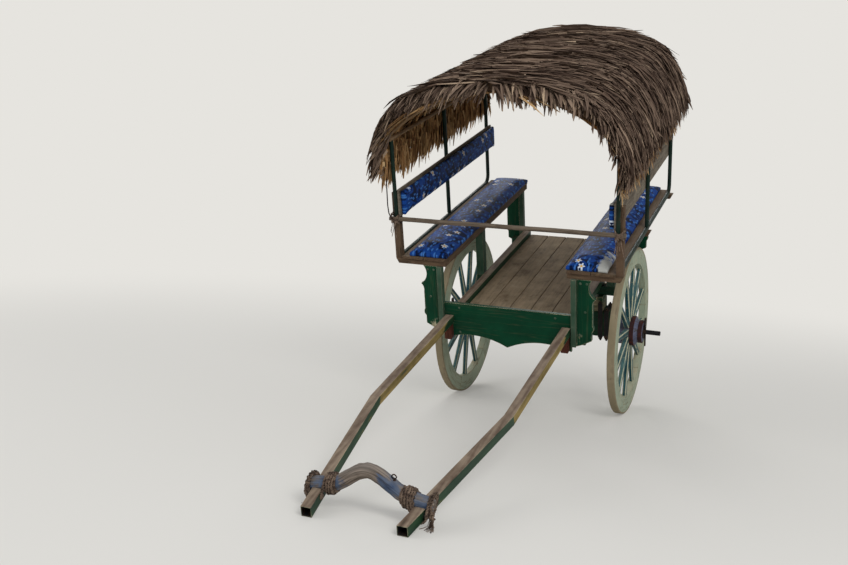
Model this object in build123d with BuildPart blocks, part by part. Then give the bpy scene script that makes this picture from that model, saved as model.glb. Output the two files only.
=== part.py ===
"""Two-wheeled bullock cart for passengers: timber body, spoked wheels, thatched roof.

The cart is modelled level, with its axle at the height of a wheel's radius, its front towards -Y
and its left side towards +X. At the end every piece is turned forward about the axle, until the
shaft tips lie on the ground, which is how the cart stands when nothing draws it. All sizes are in
millimetres.
"""
from build123d import *

import os
from math import asin, atan2, cos, degrees, radians, sin, sqrt

os.makedirs("parts", exist_ok=True)
pieces = {}
sides = {"left": 1, "right": -1}
ends = {"front": -1, "rear": 1}


def keep(name, builder):
    """Notes a finished piece under its name, to be stood up and written at the end."""
    pieces[name] = builder.part


# Clearances
fit = 0.5
running_clearance = 0.5
end_play = 1.0

# Wheels
wheel_radius = 550.0
wheel_plane = 567.0
tyre_thickness = 9.0
tyre_width = 46.0
felloe_depth = 100.0
felloe_joint = 0.6
felloe_count = 6
spokes_per_felloe = 2
spoke_width = 40.0
spoke_thickness = 34.0
spoke_narrowing = 10.0
spoke_edge = 7.0
nave_length = 190.0
nave_radius = 92.0
nave_outer_radius = 69.0
spoke_bed_margin = 2.0
nave_band_width = 26.0
nave_band_thickness = 6.0

# Axle, washers and linchpins
axle_core_radius = 24.0
axle_collar_radius = 36.0
journal_radius = 20.0
washer_seat_radius = 17.0
axle_end_radius = 15.0
axle_end_length = 93.0
axle_end_chamfer = 2.0
washer_thickness = 6.0
washer_radius = 44.0
linchpin_thickness = 9.0
linchpin_width = 12.0
linchpin_length = 200.0
linchpin_head_width = 32.0
linchpin_head_length = 62.0

# Axle beam and what stands on it
beam_half_length = 455.0
beam_bottom = 508.0
beam_top = 690.0
beam_depth = 120.0
beam_edge = 8.0
strap_thickness = 5.0
strap_width = 30.0
strap_rise = 58.0
strap_inset = 10.0
strap_gap = 10.0
bolster_length = 80.0
bolster_slant = 45.0

# Body
bearer_bottom = 795.0
bearer_depth = 62.0
bearer_width = 55.0
bearer_overhang = 20.0
body_half_length = 800.0
floor_thickness = 18.0
floor_board_count = 5
floor_board_gap = 4.0
corner_post_size = 31.0
corner_post_depth = 44.0
corner_board_inner = 429.0
corner_board_thickness = 28.0
corner_board_toe_width = 28.0
corner_board_toe_rise = 12.0
corner_board_neck_width = 89.0
corner_board_heel_rise = 44.0
corner_board_neck_rise = 95.0
corner_board_bulge_width = 101.0
corner_board_bulge_rise = 117.0
corner_board_width = 95.0
corner_board_side_rise = 139.0
corner_board_side_drop = 170.0
corner_board_throat_width = 98.0
corner_board_throat_drop = 138.0
corner_board_cusp_width = 112.0
corner_board_cusp_drop = 119.0
corner_board_waist_width = 73.0
corner_board_waist_drop = 65.0
corner_board_top_width = 91.0
front_board_top = 989.0
front_board_thickness = 24.0
front_board_drop = 65.0
front_board_arch_rise = 56.0
front_board_end_rise = 22.0
front_block_size = 44.0
front_block_height = 95.0
upright_width = 54.0

# Shafts
tube_size = 50.0
tube_wall = 3.0
shaft_offset = 365.0
shaft_bend = 1900.0
shaft_reach = 2900.0
shaft_tip_offset = 220.0

# Benches
seat_top = 1270.0
seat_timber = 34.0
seat_timber_width = 44.0
bench_board_thickness = 16.0
bench_board_gap = 4.0
seat_inner = 372.0
bearer_slant = 18.0
bench_overhang = 38.0
cushion_lip = 20.0
cushion_width = 266.0
cushion_crown = 52.0
cushion_edge = 16.0
cushion_bevel = 8.0

# Posts, handrail and backrests
post_offset = 667.0
bar_radius = 13.0
bar_facets = 12
bar_bend = 60.0
front_post_size = 42.0
front_post_height = 414.0
front_pole_radius = 12.0
handrail_height = 1508.0
handrail_radius = 13.0
handrail_overhang = 30.0
backrest_gap = 4.0
backrest_height = 165.0
backrest_board = 12.0
backrest_pad = 30.0

# Roof
eave_height = 2000.0
eave_radius = 13.0
roof_overhang = 60.0
roof_rise = 262.0
arch_depth = 22.0
arch_width = 22.0
arch_inset = 30.0
arch_count = 4
lath_count = 5
lath_width = 26.0
lath_thickness = 12.0
lath_spread = 0.8
thatch_thickness = 70.0
thatch_overhang = 110.0
thatch_drop = 150.0
thatch_gap = 22.0
thatch_hem_width = 46.0
thatch_flare_width = 36.0
thatch_flare_rise = 95.0
thatch_bulge_width = 24.0
thatch_bulge_rise = 185.0
thatch_eave_step = 34.0
thatch_eave_rise = 275.0
thatch_haunch_step = 142.0
thatch_haunch_rise = 425.0
thatch_crown_place = 300.0
thatch_crown_drop = 28.0
thatch_lip = 20.0

# Rear step
step_height = 440.0
step_width = 560.0
step_depth = 170.0
step_gap = 25.0
step_thickness = 24.0
hanger_inset = 60.0
hanger_width = 40.0
hanger_thickness = 8.0

# Yoke, its eye bolt and the rope that ties it to the shafts
yoke_setback = 180.0
yoke_half_length = 300.0
yoke_radius = 34.0
yoke_facets = 10
yoke_notch = 30.0
yoke_shoulder = 155.0
yoke_shoulder_rise = 24.0
yoke_crown_rise = 139.0
yoke_shoulder_bend = 90.0
yoke_crown_bend = 80.0
yoke_end_chamfer = 9.0
eye_place = 120.0
eye_radius = 11.0
eye_wire = 5.0
eye_facets = 16
eye_stem = 10.0
lashing_thickness = 14.0
lashing_inner_length = 62.0
lashing_outer_length = 16.0

# Heights that several pieces share
bearer_top = bearer_bottom + bearer_depth
shaft_height = bearer_top + tube_size / 2
seat_frame_top = seat_top - bench_board_thickness
seat_frame_bottom = seat_frame_top - seat_timber
beam_half_depth = beam_depth / 2


# Wheels: a turned nave with iron bands, twelve spokes, six felloes and an iron tyre
spoke_count = felloe_count * spokes_per_felloe
felloe_outer = wheel_radius - tyre_thickness
felloe_inner = felloe_outer - felloe_depth
half_nave = nave_length / 2
spoke_bed = spoke_thickness / 2 + spoke_bed_margin
spoke_start = nave_radius - spoke_width / 2
spoke_length = felloe_outer - spoke_start
spoke_taper = degrees(atan2(spoke_narrowing / 2, spoke_length))
nave_bore = journal_radius + running_clearance
# Each band: where it starts along the nave, outwards positive, and the radius of its seat
nave_bands = [
    (-half_nave, nave_radius),
    (spoke_bed, nave_radius),
    (half_nave - nave_band_width, nave_outer_radius),
]
for side, s in sides.items():
    hub = Vector(s * wheel_plane, 0, wheel_radius)
    wheel_face = Plane(origin=hub, x_dir=(0, 1, 0), z_dir=(s, 0, 0))
    nave_section = Plane(origin=hub, x_dir=(s, 0, 0), z_dir=(0, -s, 0))

    with BuildPart() as nave:
        with BuildSketch(nave_section):
            with BuildLine():
                Polyline(
                    (-half_nave, nave_bore),
                    (-half_nave, nave_radius),
                    (spoke_bed + nave_band_width, nave_radius),
                    (half_nave - nave_band_width, nave_outer_radius),
                    (half_nave, nave_outer_radius),
                    (half_nave, nave_bore),
                    close=True,
                )
            make_face()
        revolve(axis=Axis(hub, (1, 0, 0)))
    keep(f"{side}_nave", nave)

    with BuildPart() as wheel_irons:
        with BuildSketch(wheel_face.offset(-tyre_width / 2)):
            Circle(wheel_radius)
            Circle(felloe_outer, mode=Mode.SUBTRACT)
        extrude(amount=tyre_width)
        for start, seat in nave_bands:
            with BuildSketch(wheel_face.offset(start)):
                Circle(seat + nave_band_thickness)
                Circle(seat, mode=Mode.SUBTRACT)
            extrude(amount=nave_band_width)
    keep(f"{side}_tyre_and_bands", wheel_irons)

    with BuildPart() as felloes:
        with BuildSketch(wheel_face.offset(-tyre_width / 2)):
            Circle(felloe_outer)
            Circle(felloe_inner, mode=Mode.SUBTRACT)
            with PolarLocations((felloe_inner + felloe_outer) / 2, felloe_count):
                Rectangle(2 * felloe_depth, felloe_joint, mode=Mode.SUBTRACT)
        extrude(amount=tyre_width)
    keep(f"{side}_felloes", felloes)

    with BuildPart() as spokes:
        for step in range(spoke_count):
            angle = radians(360 / spoke_count * (step + 0.5))
            reach = Vector(0, cos(angle), sin(angle))
            foot = Plane(origin=hub + reach * spoke_start, x_dir=(1, 0, 0), z_dir=reach)
            with BuildSketch(foot) as root:
                Rectangle(spoke_thickness, spoke_width)
                chamfer(root.vertices(), spoke_edge)
            extrude(amount=spoke_length, taper=spoke_taper)
        with BuildSketch(wheel_face.offset(-spoke_bed)):
            Circle(felloe_inner)
            Circle(nave_radius, mode=Mode.SUBTRACT)
        extrude(amount=2 * spoke_bed, mode=Mode.INTERSECT)
    keep(f"{side}_spokes", spokes)


# Axle: one bar from end to end, with a collar inside each nave and a slot for each linchpin
nave_inner_end = wheel_plane - half_nave
nave_outer_end = wheel_plane + half_nave
collar_start = beam_half_length + fit
collar_end = nave_inner_end - end_play
washer_place = nave_outer_end + end_play
pin_place = washer_place + washer_thickness + fit
axle_end_start = pin_place + linchpin_thickness + fit
axle_reach = axle_end_start + axle_end_length
pin_slot = Plane.XY.offset(wheel_radius)
with BuildPart() as axle_bar:
    with BuildSketch(Plane.XZ):
        with BuildLine():
            Polyline(
                (0, wheel_radius),
                (0, wheel_radius + axle_core_radius),
                (collar_start, wheel_radius + axle_core_radius),
                (collar_start, wheel_radius + axle_collar_radius),
                (collar_end, wheel_radius + axle_collar_radius),
                (collar_end, wheel_radius + journal_radius),
                (nave_outer_end, wheel_radius + journal_radius),
                (nave_outer_end, wheel_radius + washer_seat_radius),
                (axle_end_start, wheel_radius + washer_seat_radius),
                (axle_end_start, wheel_radius + axle_end_radius),
                (axle_reach - axle_end_chamfer, wheel_radius + axle_end_radius),
                (axle_reach, wheel_radius + axle_end_radius - axle_end_chamfer),
                (axle_reach, wheel_radius),
                close=True,
            )
        make_face()
    revolve(axis=Axis((0, 0, wheel_radius), (1, 0, 0)))
    with BuildSketch(pin_slot):
        with Locations((pin_place + linchpin_thickness / 2, 0)):
            Rectangle(linchpin_thickness + fit, linchpin_width + fit)
    extrude(amount=2 * washer_seat_radius, both=True, mode=Mode.SUBTRACT)
    mirror(about=Plane.YZ)
keep("axle_bar", axle_bar)

with BuildPart() as axle_washers:
    with BuildSketch(Plane(origin=(washer_place, 0, wheel_radius), z_dir=(1, 0, 0))):
        Circle(washer_radius)
        Circle(washer_seat_radius + fit / 2, mode=Mode.SUBTRACT)
    extrude(amount=washer_thickness)
    mirror(about=Plane.YZ)
keep("axle_washers", axle_washers)

with BuildPart() as linchpins:
    with BuildSketch(Plane(origin=(pin_place, 0, wheel_radius), x_dir=(0, 1, 0), z_dir=(1, 0, 0))):
        Rectangle(linchpin_width, linchpin_length)
        with Locations((0, (linchpin_length - linchpin_head_length) / 2)):
            RectangleRounded(linchpin_head_width, linchpin_head_length, linchpin_head_width / 3)
    extrude(amount=linchpin_thickness)
    mirror(about=Plane.YZ)
keep("linchpins", linchpins)


# Axle beam, the blocks that carry the body, and the straps that hold both
strap_outer = beam_half_length - strap_inset
strap_inner = strap_outer - strap_width - strap_gap
bolster_outer = strap_inner
bolster_inner = bolster_outer - bolster_length
with BuildPart() as axle_beam:
    with BuildSketch(Plane.YZ.offset(-beam_half_length)) as beam_section:
        with Locations((0, (beam_bottom + beam_top) / 2)):
            Rectangle(beam_depth, beam_top - beam_bottom)
        chamfer(beam_section.vertices().group_by(Axis.Z)[0], beam_edge)
        with Locations((0, wheel_radius)):
            Circle(axle_core_radius + fit / 2, mode=Mode.SUBTRACT)
    extrude(amount=2 * beam_half_length)
keep("axle_beam", axle_beam)

with BuildPart() as bolsters:
    with BuildSketch(Plane.XZ.offset(-beam_half_depth)):
        with BuildLine():
            Polyline(
                (bolster_inner, beam_top),
                (bolster_outer, beam_top),
                (bolster_outer, bearer_bottom),
                (bolster_inner + bolster_slant, bearer_bottom),
                (bolster_inner, bearer_bottom - bolster_slant),
                close=True,
            )
        make_face()
    extrude(amount=beam_depth)
    mirror(about=Plane.YZ)
keep("bolsters", bolsters)

# Each strap: its outer edge, how far it rises above the beam, and whether a bolster fills it
beam_straps_table = [(strap_outer, 0.0), (strap_inner, strap_rise)]
with BuildPart() as beam_straps:
    for outer_edge, rise in beam_straps_table:
        inside_height = beam_top - beam_bottom + rise
        with BuildSketch(Plane.YZ.offset(outer_edge - strap_width)):
            with Locations((0, beam_bottom + inside_height / 2)):
                Rectangle(beam_depth + 2 * strap_thickness, inside_height + 2 * strap_thickness)
                Rectangle(beam_depth, inside_height, mode=Mode.SUBTRACT)
            if rise:
                with Locations((0, beam_bottom + inside_height + strap_thickness / 2)):
                    Rectangle(beam_depth, strap_thickness, mode=Mode.SUBTRACT)
        extrude(amount=strap_width)
    mirror(about=Plane.YZ)
keep("beam_straps", beam_straps)


# Floor frame and floor
bearer_half = beam_half_length + bearer_overhang
bearer_reach = body_half_length - bearer_width / 2
with BuildPart() as cross_bearers:
    with BuildSketch(Plane.XY.offset(bearer_bottom)):
        with Locations((0, -bearer_reach), (0, 0), (0, bearer_reach)):
            Rectangle(2 * bearer_half, bearer_width)
    extrude(amount=bearer_depth)
keep("cross_bearers", cross_bearers)

floor_half_width = shaft_offset - tube_size / 2 - floor_board_gap
board_width = (2 * floor_half_width - (floor_board_count - 1) * floor_board_gap) / floor_board_count
with BuildPart() as floor_boards:
    with BuildSketch(Plane.XY.offset(bearer_top)):
        with GridLocations(board_width + floor_board_gap, 0, floor_board_count, 1):
            Rectangle(board_width, 2 * (body_half_length - fit))
    extrude(amount=floor_thickness)
keep("floor_boards", floor_boards)


# Shafts: square steel tubes that run under the sides of the body and out to the yoke
for side, s in sides.items():
    tube_section = Plane(
        origin=(s * shaft_offset, body_half_length, shaft_height), x_dir=(1, 0, 0), z_dir=(0, -1, 0)
    )
    with BuildPart() as shaft:
        with BuildLine():
            Polyline(
                (s * shaft_offset, body_half_length, shaft_height),
                (s * shaft_offset, -shaft_bend, shaft_height),
                (s * shaft_tip_offset, -shaft_reach - tube_size, shaft_height),
            )
        with BuildSketch(tube_section):
            Rectangle(tube_size, tube_size)
            Rectangle(tube_size - 2 * tube_wall, tube_size - 2 * tube_wall, mode=Mode.SUBTRACT)
        sweep(transition=Transition.RIGHT)
        split(bisect_by=Plane.XZ.offset(shaft_reach), keep=Keep.BOTTOM)
    keep(f"{side}_shaft", shaft)


# Corner posts, with a scalloped board outside each
corner_post_outer = corner_board_inner - fit
with BuildPart() as corner_posts:
    with BuildSketch(Plane.XY.offset(bearer_bottom)):
        with GridLocations(
            2 * corner_post_outer - corner_post_size, 2 * body_half_length + corner_post_depth, 2, 2
        ):
            Rectangle(corner_post_size, corner_post_depth)
    extrude(amount=seat_frame_bottom - bearer_bottom)
keep("corner_posts", corner_posts)

# The board's outline: each point's distance from the straight inner edge and its height
board_foot = bearer_bottom
board_head = seat_frame_bottom
board_toe = (corner_board_toe_width, board_foot + corner_board_toe_rise)
board_heel = (corner_board_neck_width, board_foot + corner_board_heel_rise)
board_neck = (corner_board_neck_width, board_foot + corner_board_neck_rise)
board_bulge = (corner_board_bulge_width, board_foot + corner_board_bulge_rise)
board_side_bottom = (corner_board_width, board_foot + corner_board_side_rise)
board_side_top = (corner_board_width, board_head - corner_board_side_drop)
board_throat = (corner_board_throat_width, board_head - corner_board_throat_drop)
board_cusp = (corner_board_cusp_width, board_head - corner_board_cusp_drop)
board_waist = (corner_board_waist_width, board_head - corner_board_waist_drop)
board_corner = (corner_board_top_width, board_head)
for end, e in ends.items():
    with BuildPart() as corner_boards:
        board_face = Plane.XZ.offset(-e * body_half_length)
        with BuildSketch(board_face.move(Location((corner_board_inner, 0, 0)))):
            with BuildLine():
                Polyline(board_neck, board_heel, board_toe, (0, board_foot), (0, board_head), board_corner)
                ThreePointArc(board_corner, board_waist, board_cusp)
                ThreePointArc(board_cusp, board_throat, board_side_top)
                Line(board_side_top, board_side_bottom)
                ThreePointArc(board_side_bottom, board_bulge, board_neck)
            make_face()
        extrude(amount=-e * corner_board_thickness)
        mirror(about=Plane.YZ)
    keep(f"{end}_corner_boards", corner_boards)


# Front board, its lower edge cut in two shallow arches, and a block under each shaft before it
front_half = corner_post_outer - corner_post_size
board_keel = bearer_bottom - front_board_drop
tube_notch = tube_size + 2 * fit
with BuildPart() as front_board:
    with BuildSketch(Plane.XZ.offset(body_half_length)):
        with BuildLine():
            for s in sides.values():
                ThreePointArc(
                    (0, board_keel),
                    (s * front_half * 0.58, board_keel + front_board_arch_rise),
                    (s * front_half, board_keel + front_board_end_rise),
                )
            Polyline(
                (front_half, board_keel + front_board_end_rise),
                (front_half, front_board_top),
                (-front_half, front_board_top),
                (-front_half, board_keel + front_board_end_rise),
            )
        make_face()
        with Locations((shaft_offset, shaft_height), (-shaft_offset, shaft_height)):
            Rectangle(tube_notch, tube_notch, mode=Mode.SUBTRACT)
    extrude(amount=front_board_thickness)
keep("front_board", front_board)

block_place = body_half_length + front_board_thickness + front_block_size / 2
with BuildPart() as front_blocks:
    with BuildSketch(Plane.XY.offset(shaft_height - tube_size / 2)):
        with Locations((shaft_offset, -block_place), (-shaft_offset, -block_place)):
            Rectangle(front_block_size, front_block_size)
    extrude(amount=-front_block_height)
keep("front_blocks", front_blocks)

with BuildPart() as middle_uprights:
    with BuildSketch(Plane.XY.offset(bearer_top)):
        with GridLocations(2 * bearer_half - upright_width, 0, 2, 1):
            Rectangle(upright_width, bearer_width)
    extrude(amount=seat_frame_bottom - bearer_top)
keep("middle_uprights", middle_uprights)


# Benches: bearers across, a rail along their inner ends, boards and cushions
post_outer = post_offset - bar_radius + front_post_size
seat_bearer_end = post_outer + fit
seat_bearer_reach = body_half_length + fit + seat_timber_width / 8
with BuildPart() as seat_bearers:
    for place in (-seat_bearer_reach, 0, seat_bearer_reach):
        with BuildSketch(Plane.XZ.offset(-place - seat_timber_width / 2)):
            with BuildLine():
                Polyline(
                    (seat_inner, seat_frame_bottom),
                    (seat_bearer_end - bearer_slant, seat_frame_bottom),
                    (seat_bearer_end, seat_frame_top),
                    (seat_inner, seat_frame_top),
                    close=True,
                )
            make_face()
        extrude(amount=seat_timber_width)
    mirror(about=Plane.YZ)
keep("seat_bearers", seat_bearers)

rail_length = seat_bearer_reach - seat_timber_width
with BuildPart() as seat_rails:
    with BuildSketch(Plane.XY.offset(seat_frame_bottom)):
        with GridLocations(2 * seat_inner + seat_timber, seat_bearer_reach, 2, 2):
            Rectangle(seat_timber, rail_length)
    extrude(amount=seat_timber)
keep("seat_rails", seat_rails)

bench_half = body_half_length + bench_overhang
bench_outer = post_offset - bar_radius - 2 * fit
bench_board_width = (bench_outer - seat_inner - bench_board_gap) / 2
with BuildPart() as bench_boards:
    for s in sides.values():
        with BuildSketch(Plane.XY.offset(seat_frame_top)):
            with Locations((s * (seat_inner + bench_outer) / 2, 0)):
                with GridLocations(bench_board_width + bench_board_gap, 0, 2, 1):
                    Rectangle(bench_board_width, 2 * bench_half)
        extrude(amount=bench_board_thickness)
keep("bench_boards", bench_boards)

cushion_inner = seat_inner - cushion_lip
cushion_outer = cushion_inner + cushion_width
for side, s in sides.items():
    with BuildPart() as cushion:
        with BuildSketch(Plane.XZ.offset(-bench_half)):
            with BuildLine():
                Polyline(
                    (s * cushion_inner, seat_top + cushion_edge),
                    (s * (cushion_inner + cushion_bevel), seat_top),
                    (s * (cushion_outer - cushion_bevel), seat_top),
                    (s * cushion_outer, seat_top + cushion_edge),
                )
                ThreePointArc(
                    (s * cushion_outer, seat_top + cushion_edge),
                    (s * (cushion_inner + cushion_outer) / 2, seat_top + cushion_crown),
                    (s * cushion_inner, seat_top + cushion_edge),
                )
            make_face()
        extrude(amount=2 * bench_half)
    keep(f"{side}_cushion", cushion)


# Side frames: a timber post in front, and a round bar from it that turns up at the rear corner
timber_post_place = post_offset - bar_radius + front_post_size / 2
frame_top = eave_height - eave_radius
frame_front = seat_bearer_reach - front_post_size / 2
with BuildPart() as front_posts:
    with BuildSketch(Plane.XY.offset(seat_frame_top)):
        with Locations((timber_post_place, -seat_bearer_reach), (-timber_post_place, -seat_bearer_reach)):
            Rectangle(front_post_size, front_post_size)
    extrude(amount=front_post_height)
keep("front_posts", front_posts)

for side, s in sides.items():
    with BuildPart() as side_bar:
        with BuildLine(Plane.YZ.offset(s * post_offset)) as bar_path:
            FilletPolyline(
                (-frame_front + fit, seat_frame_top + bar_radius),
                (seat_bearer_reach, seat_frame_top + bar_radius),
                (seat_bearer_reach, frame_top),
                radius=bar_bend,
            )
        with BuildSketch(Plane(origin=bar_path.line @ 0, z_dir=bar_path.line % 0)):
            RegularPolygon(bar_radius, bar_facets)
        sweep(path=bar_path.line)
    keep(f"{side}_side_bar", side_bar)

with BuildPart() as middle_posts:
    with BuildSketch(Plane.XY.offset(seat_frame_top + 2 * bar_radius + fit / 2)):
        with Locations((post_offset, 0), (-post_offset, 0)):
            Circle(bar_radius)
    extrude(amount=frame_top - seat_frame_top - 2 * bar_radius - fit / 2)
keep("middle_posts", middle_posts)

# Handrail across the front, and a pole from it up to the eave on each side
handrail_place = seat_bearer_reach + front_post_size / 2 + handrail_radius
handrail_half = post_outer + handrail_overhang - front_post_size / 2
with BuildPart() as handrail:
    with BuildSketch(Plane.YZ.offset(-handrail_half)):
        with Locations((-handrail_place, handrail_height)):
            Circle(handrail_radius)
    extrude(amount=2 * handrail_half)
keep("handrail", handrail)

pole_foot = handrail_height + handrail_radius
with BuildPart() as front_poles:
    with BuildSketch(Plane.XY.offset(pole_foot)):
        with Locations((post_offset, -handrail_place), (-post_offset, -handrail_place)):
            Circle(front_pole_radius)
    extrude(amount=frame_top - pole_foot)
keep("front_poles", front_poles)

# Backrests: a grey board inside the posts with a padded cover on it
backrest_bottom = handrail_height + handrail_radius + backrest_gap
backrest_outer = post_offset - bar_radius
backrest_seat = backrest_outer - backrest_board
with BuildPart() as backrest_boards:
    with BuildSketch(Plane.XY.offset(backrest_bottom)):
        with GridLocations(backrest_outer + backrest_seat, 0, 2, 1):
            Rectangle(backrest_board, 2 * bench_half)
    extrude(amount=backrest_height)
keep("backrest_boards", backrest_boards)

for side, s in sides.items():
    with BuildPart() as backrest_pad_solid:
        with BuildSketch(Plane.XY.offset(backrest_bottom)):
            with Locations((s * (backrest_seat - fit - backrest_pad / 2), 0)):
                Rectangle(backrest_pad, 2 * bench_half)
        extrude(amount=backrest_height)
    keep(f"{side}_backrest_pad", backrest_pad_solid)


# Roof frame: eave rails, bent arches and laths along them
roof_half = body_half_length + roof_overhang
arch_bend = (post_offset**2 + roof_rise**2) / (2 * roof_rise)
arch_centre = eave_height + roof_rise - arch_bend
arch_inside = arch_bend + eave_radius
arch_outside = arch_inside + arch_depth
arch_reach = roof_half - arch_inset
with BuildPart() as eave_rails:
    with BuildSketch(Plane.XZ.offset(-roof_half)):
        with Locations((post_offset, eave_height), (-post_offset, eave_height)):
            Circle(eave_radius)
    extrude(amount=2 * roof_half)
keep("eave_rails", eave_rails)

arch_half_angle = degrees(atan2(post_offset, eave_height - arch_centre))
arch_start = 90 - arch_half_angle
with BuildPart() as roof_arches:
    for step in range(arch_count):
        place = -arch_reach + 2 * arch_reach * step / (arch_count - 1)
        with BuildSketch(Plane.XZ.offset(-place - arch_width / 2)):
            with BuildLine():
                inside = CenterArc((0, arch_centre), arch_inside, arch_start, 2 * arch_half_angle)
                outside = CenterArc((0, arch_centre), arch_outside, arch_start, 2 * arch_half_angle)
                Line(inside @ 0, outside @ 0)
                Line(inside @ 1, outside @ 1)
            make_face()
        extrude(amount=arch_width)
keep("roof_arches", roof_arches)

with BuildPart() as roof_laths:
    for step in range(lath_count):
        turn = lath_spread * arch_half_angle * (2 * step / (lath_count - 1) - 1)
        lath_seat = arch_outside + lath_thickness / 2
        with BuildSketch(Plane.XZ.offset(-roof_half)):
            with Locations(Location((0, arch_centre, 0), (0, 0, 1), turn)):
                with Locations((0, lath_seat)):
                    Rectangle(lath_width, lath_thickness)
        extrude(amount=2 * roof_half)
keep("roof_laths", roof_laths)


# Thatch: a thick arched cover with a skirt that hangs outside the eave rails
thatch_under = sqrt((arch_outside + lath_thickness) ** 2 + (lath_width / 2) ** 2) + fit
thatch_skirt = eave_height - thatch_drop
thatch_inside = post_offset + eave_radius + thatch_gap
thatch_shoulder = arch_centre + sqrt(thatch_under**2 - thatch_inside**2)
thatch_ridge = arch_centre + thatch_under + thatch_thickness
# Where each course of leaves ends on one side, from the skirt up: distance from the middle, height
course_ends = [
    (thatch_inside + thatch_hem_width, thatch_skirt),
    (thatch_inside + thatch_flare_width, thatch_skirt + thatch_flare_rise),
    (thatch_inside + thatch_bulge_width, thatch_skirt + thatch_bulge_rise),
    (thatch_inside - thatch_eave_step, thatch_skirt + thatch_eave_rise),
    (thatch_inside - thatch_haunch_step, thatch_skirt + thatch_haunch_rise),
    (thatch_crown_place, thatch_ridge - thatch_crown_drop),
]
# The outer edge steps in under the end of each course, towards the arches' centre
thatch_edge = [course_ends[0]]
for place, height in course_ends[1:]:
    share = 1 - thatch_lip / sqrt(place**2 + (height - arch_centre) ** 2)
    thatch_edge.append((place * share, arch_centre + (height - arch_centre) * share))
    thatch_edge.append((place, height))
thatch_half = roof_half + thatch_overhang
with BuildPart() as thatch:
    with BuildSketch(Plane.XZ.offset(-thatch_half)):
        with BuildLine():
            for s in sides.values():
                Polyline(
                    (s * thatch_inside, thatch_shoulder),
                    (s * thatch_inside, thatch_skirt),
                    *[(s * place, height) for place, height in thatch_edge],
                    (0, thatch_ridge),
                )
            ThreePointArc(
                (thatch_inside, thatch_shoulder),
                (0, arch_centre + thatch_under),
                (-thatch_inside, thatch_shoulder),
            )
        make_face()
    extrude(amount=2 * thatch_half)
keep("thatch", thatch)


# Rear step on two flat iron hangers, bolted to the last cross bearer
step_reach = body_half_length + step_gap + step_depth
with BuildPart() as rear_step:
    with BuildSketch(Plane.XY.offset(step_height)):
        with Locations((0, step_reach - step_depth / 2)):
            Rectangle(step_width, step_depth)
    extrude(amount=step_thickness)
keep("rear_step", rear_step)

with BuildPart() as step_hangers:
    with BuildSketch(Plane.YZ.offset(step_width / 2 - hanger_inset)):
        with BuildLine():
            Polyline(
                (body_half_length, bearer_top),
                (body_half_length + hanger_thickness, bearer_top),
                (body_half_length + hanger_thickness, step_height),
                (step_reach, step_height),
                (step_reach, step_height - hanger_thickness),
                (body_half_length, step_height - hanger_thickness),
                close=True,
            )
        make_face()
    extrude(amount=-hanger_width)
    mirror(about=Plane.YZ)
keep("step_hangers", step_hangers)


# Yoke: a bent pole notched over both shafts, with an eye bolt, tied on with rope
yoke_place = shaft_reach - yoke_setback
shaft_slope = (shaft_offset - shaft_tip_offset) / (shaft_reach + tube_size - shaft_bend)
crossing = shaft_offset - shaft_slope * (yoke_place - shaft_bend)
shaft_top = shaft_height + tube_size / 2
yoke_slope = yoke_shoulder_rise / (yoke_half_length - yoke_shoulder)
yoke_end_height = shaft_top + yoke_radius - yoke_notch - yoke_slope * (yoke_half_length - crossing)
yoke_tube_slot = tube_size + 2 * fit
shaft_turn = degrees(atan2(shaft_slope, 1))
crown_slope = (yoke_crown_rise - yoke_shoulder_rise) / yoke_shoulder
eye_seat = yoke_end_height + yoke_crown_rise - crown_slope * eye_place
eye_height = eye_seat + yoke_radius * sqrt(1 + crown_slope**2) + eye_stem + eye_radius
with BuildPart() as yoke:
    with BuildLine(Plane.XZ.offset(yoke_place)) as yoke_path:
        FilletPolyline(
            (-yoke_half_length, yoke_end_height),
            (-yoke_shoulder, yoke_end_height + yoke_shoulder_rise),
            (0, yoke_end_height + yoke_crown_rise),
            (yoke_shoulder, yoke_end_height + yoke_shoulder_rise),
            (yoke_half_length, yoke_end_height),
            radius=[yoke_shoulder_bend, yoke_crown_bend, yoke_shoulder_bend],
        )
    with BuildSketch(Plane(origin=yoke_path.line @ 0, z_dir=yoke_path.line % 0)):
        RegularPolygon(yoke_radius, yoke_facets)
    sweep(path=yoke_path.line)
    chamfer(yoke.faces().sort_by(Axis.X)[0].edges(), yoke_end_chamfer)
    chamfer(yoke.faces().sort_by(Axis.X)[-1].edges(), yoke_end_chamfer)
    for s in sides.values():
        with BuildSketch(Plane.XY.offset(shaft_top)):
            with Locations(Location((s * crossing, -yoke_place, 0), (0, 0, 1), -s * shaft_turn)):
                Rectangle(yoke_tube_slot, 4 * yoke_radius)
        extrude(amount=-2 * yoke_radius, mode=Mode.SUBTRACT)
    with BuildSketch(Plane.XY.offset(eye_seat)):
        with Locations((eye_place, -yoke_place)):
            Rectangle(eye_wire, eye_wire)
    extrude(amount=3 * yoke_radius, mode=Mode.SUBTRACT)
keep("yoke", yoke)

with BuildPart() as yoke_eye_bolt:
    with BuildSketch(Plane.XY.offset(eye_seat)):
        with Locations((eye_place, -yoke_place)):
            Rectangle(eye_wire, eye_wire)
    extrude(amount=eye_height - eye_radius - eye_seat)
    with BuildSketch(Plane(origin=(eye_place, -yoke_place - eye_wire / 2, eye_height), z_dir=(0, 1, 0))):
        RegularPolygon(eye_radius + eye_wire / 2, eye_facets)
        RegularPolygon(eye_radius - eye_wire / 2, eye_facets, mode=Mode.SUBTRACT)
    extrude(amount=eye_wire)
keep("yoke_eye_bolt", yoke_eye_bolt)

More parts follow.
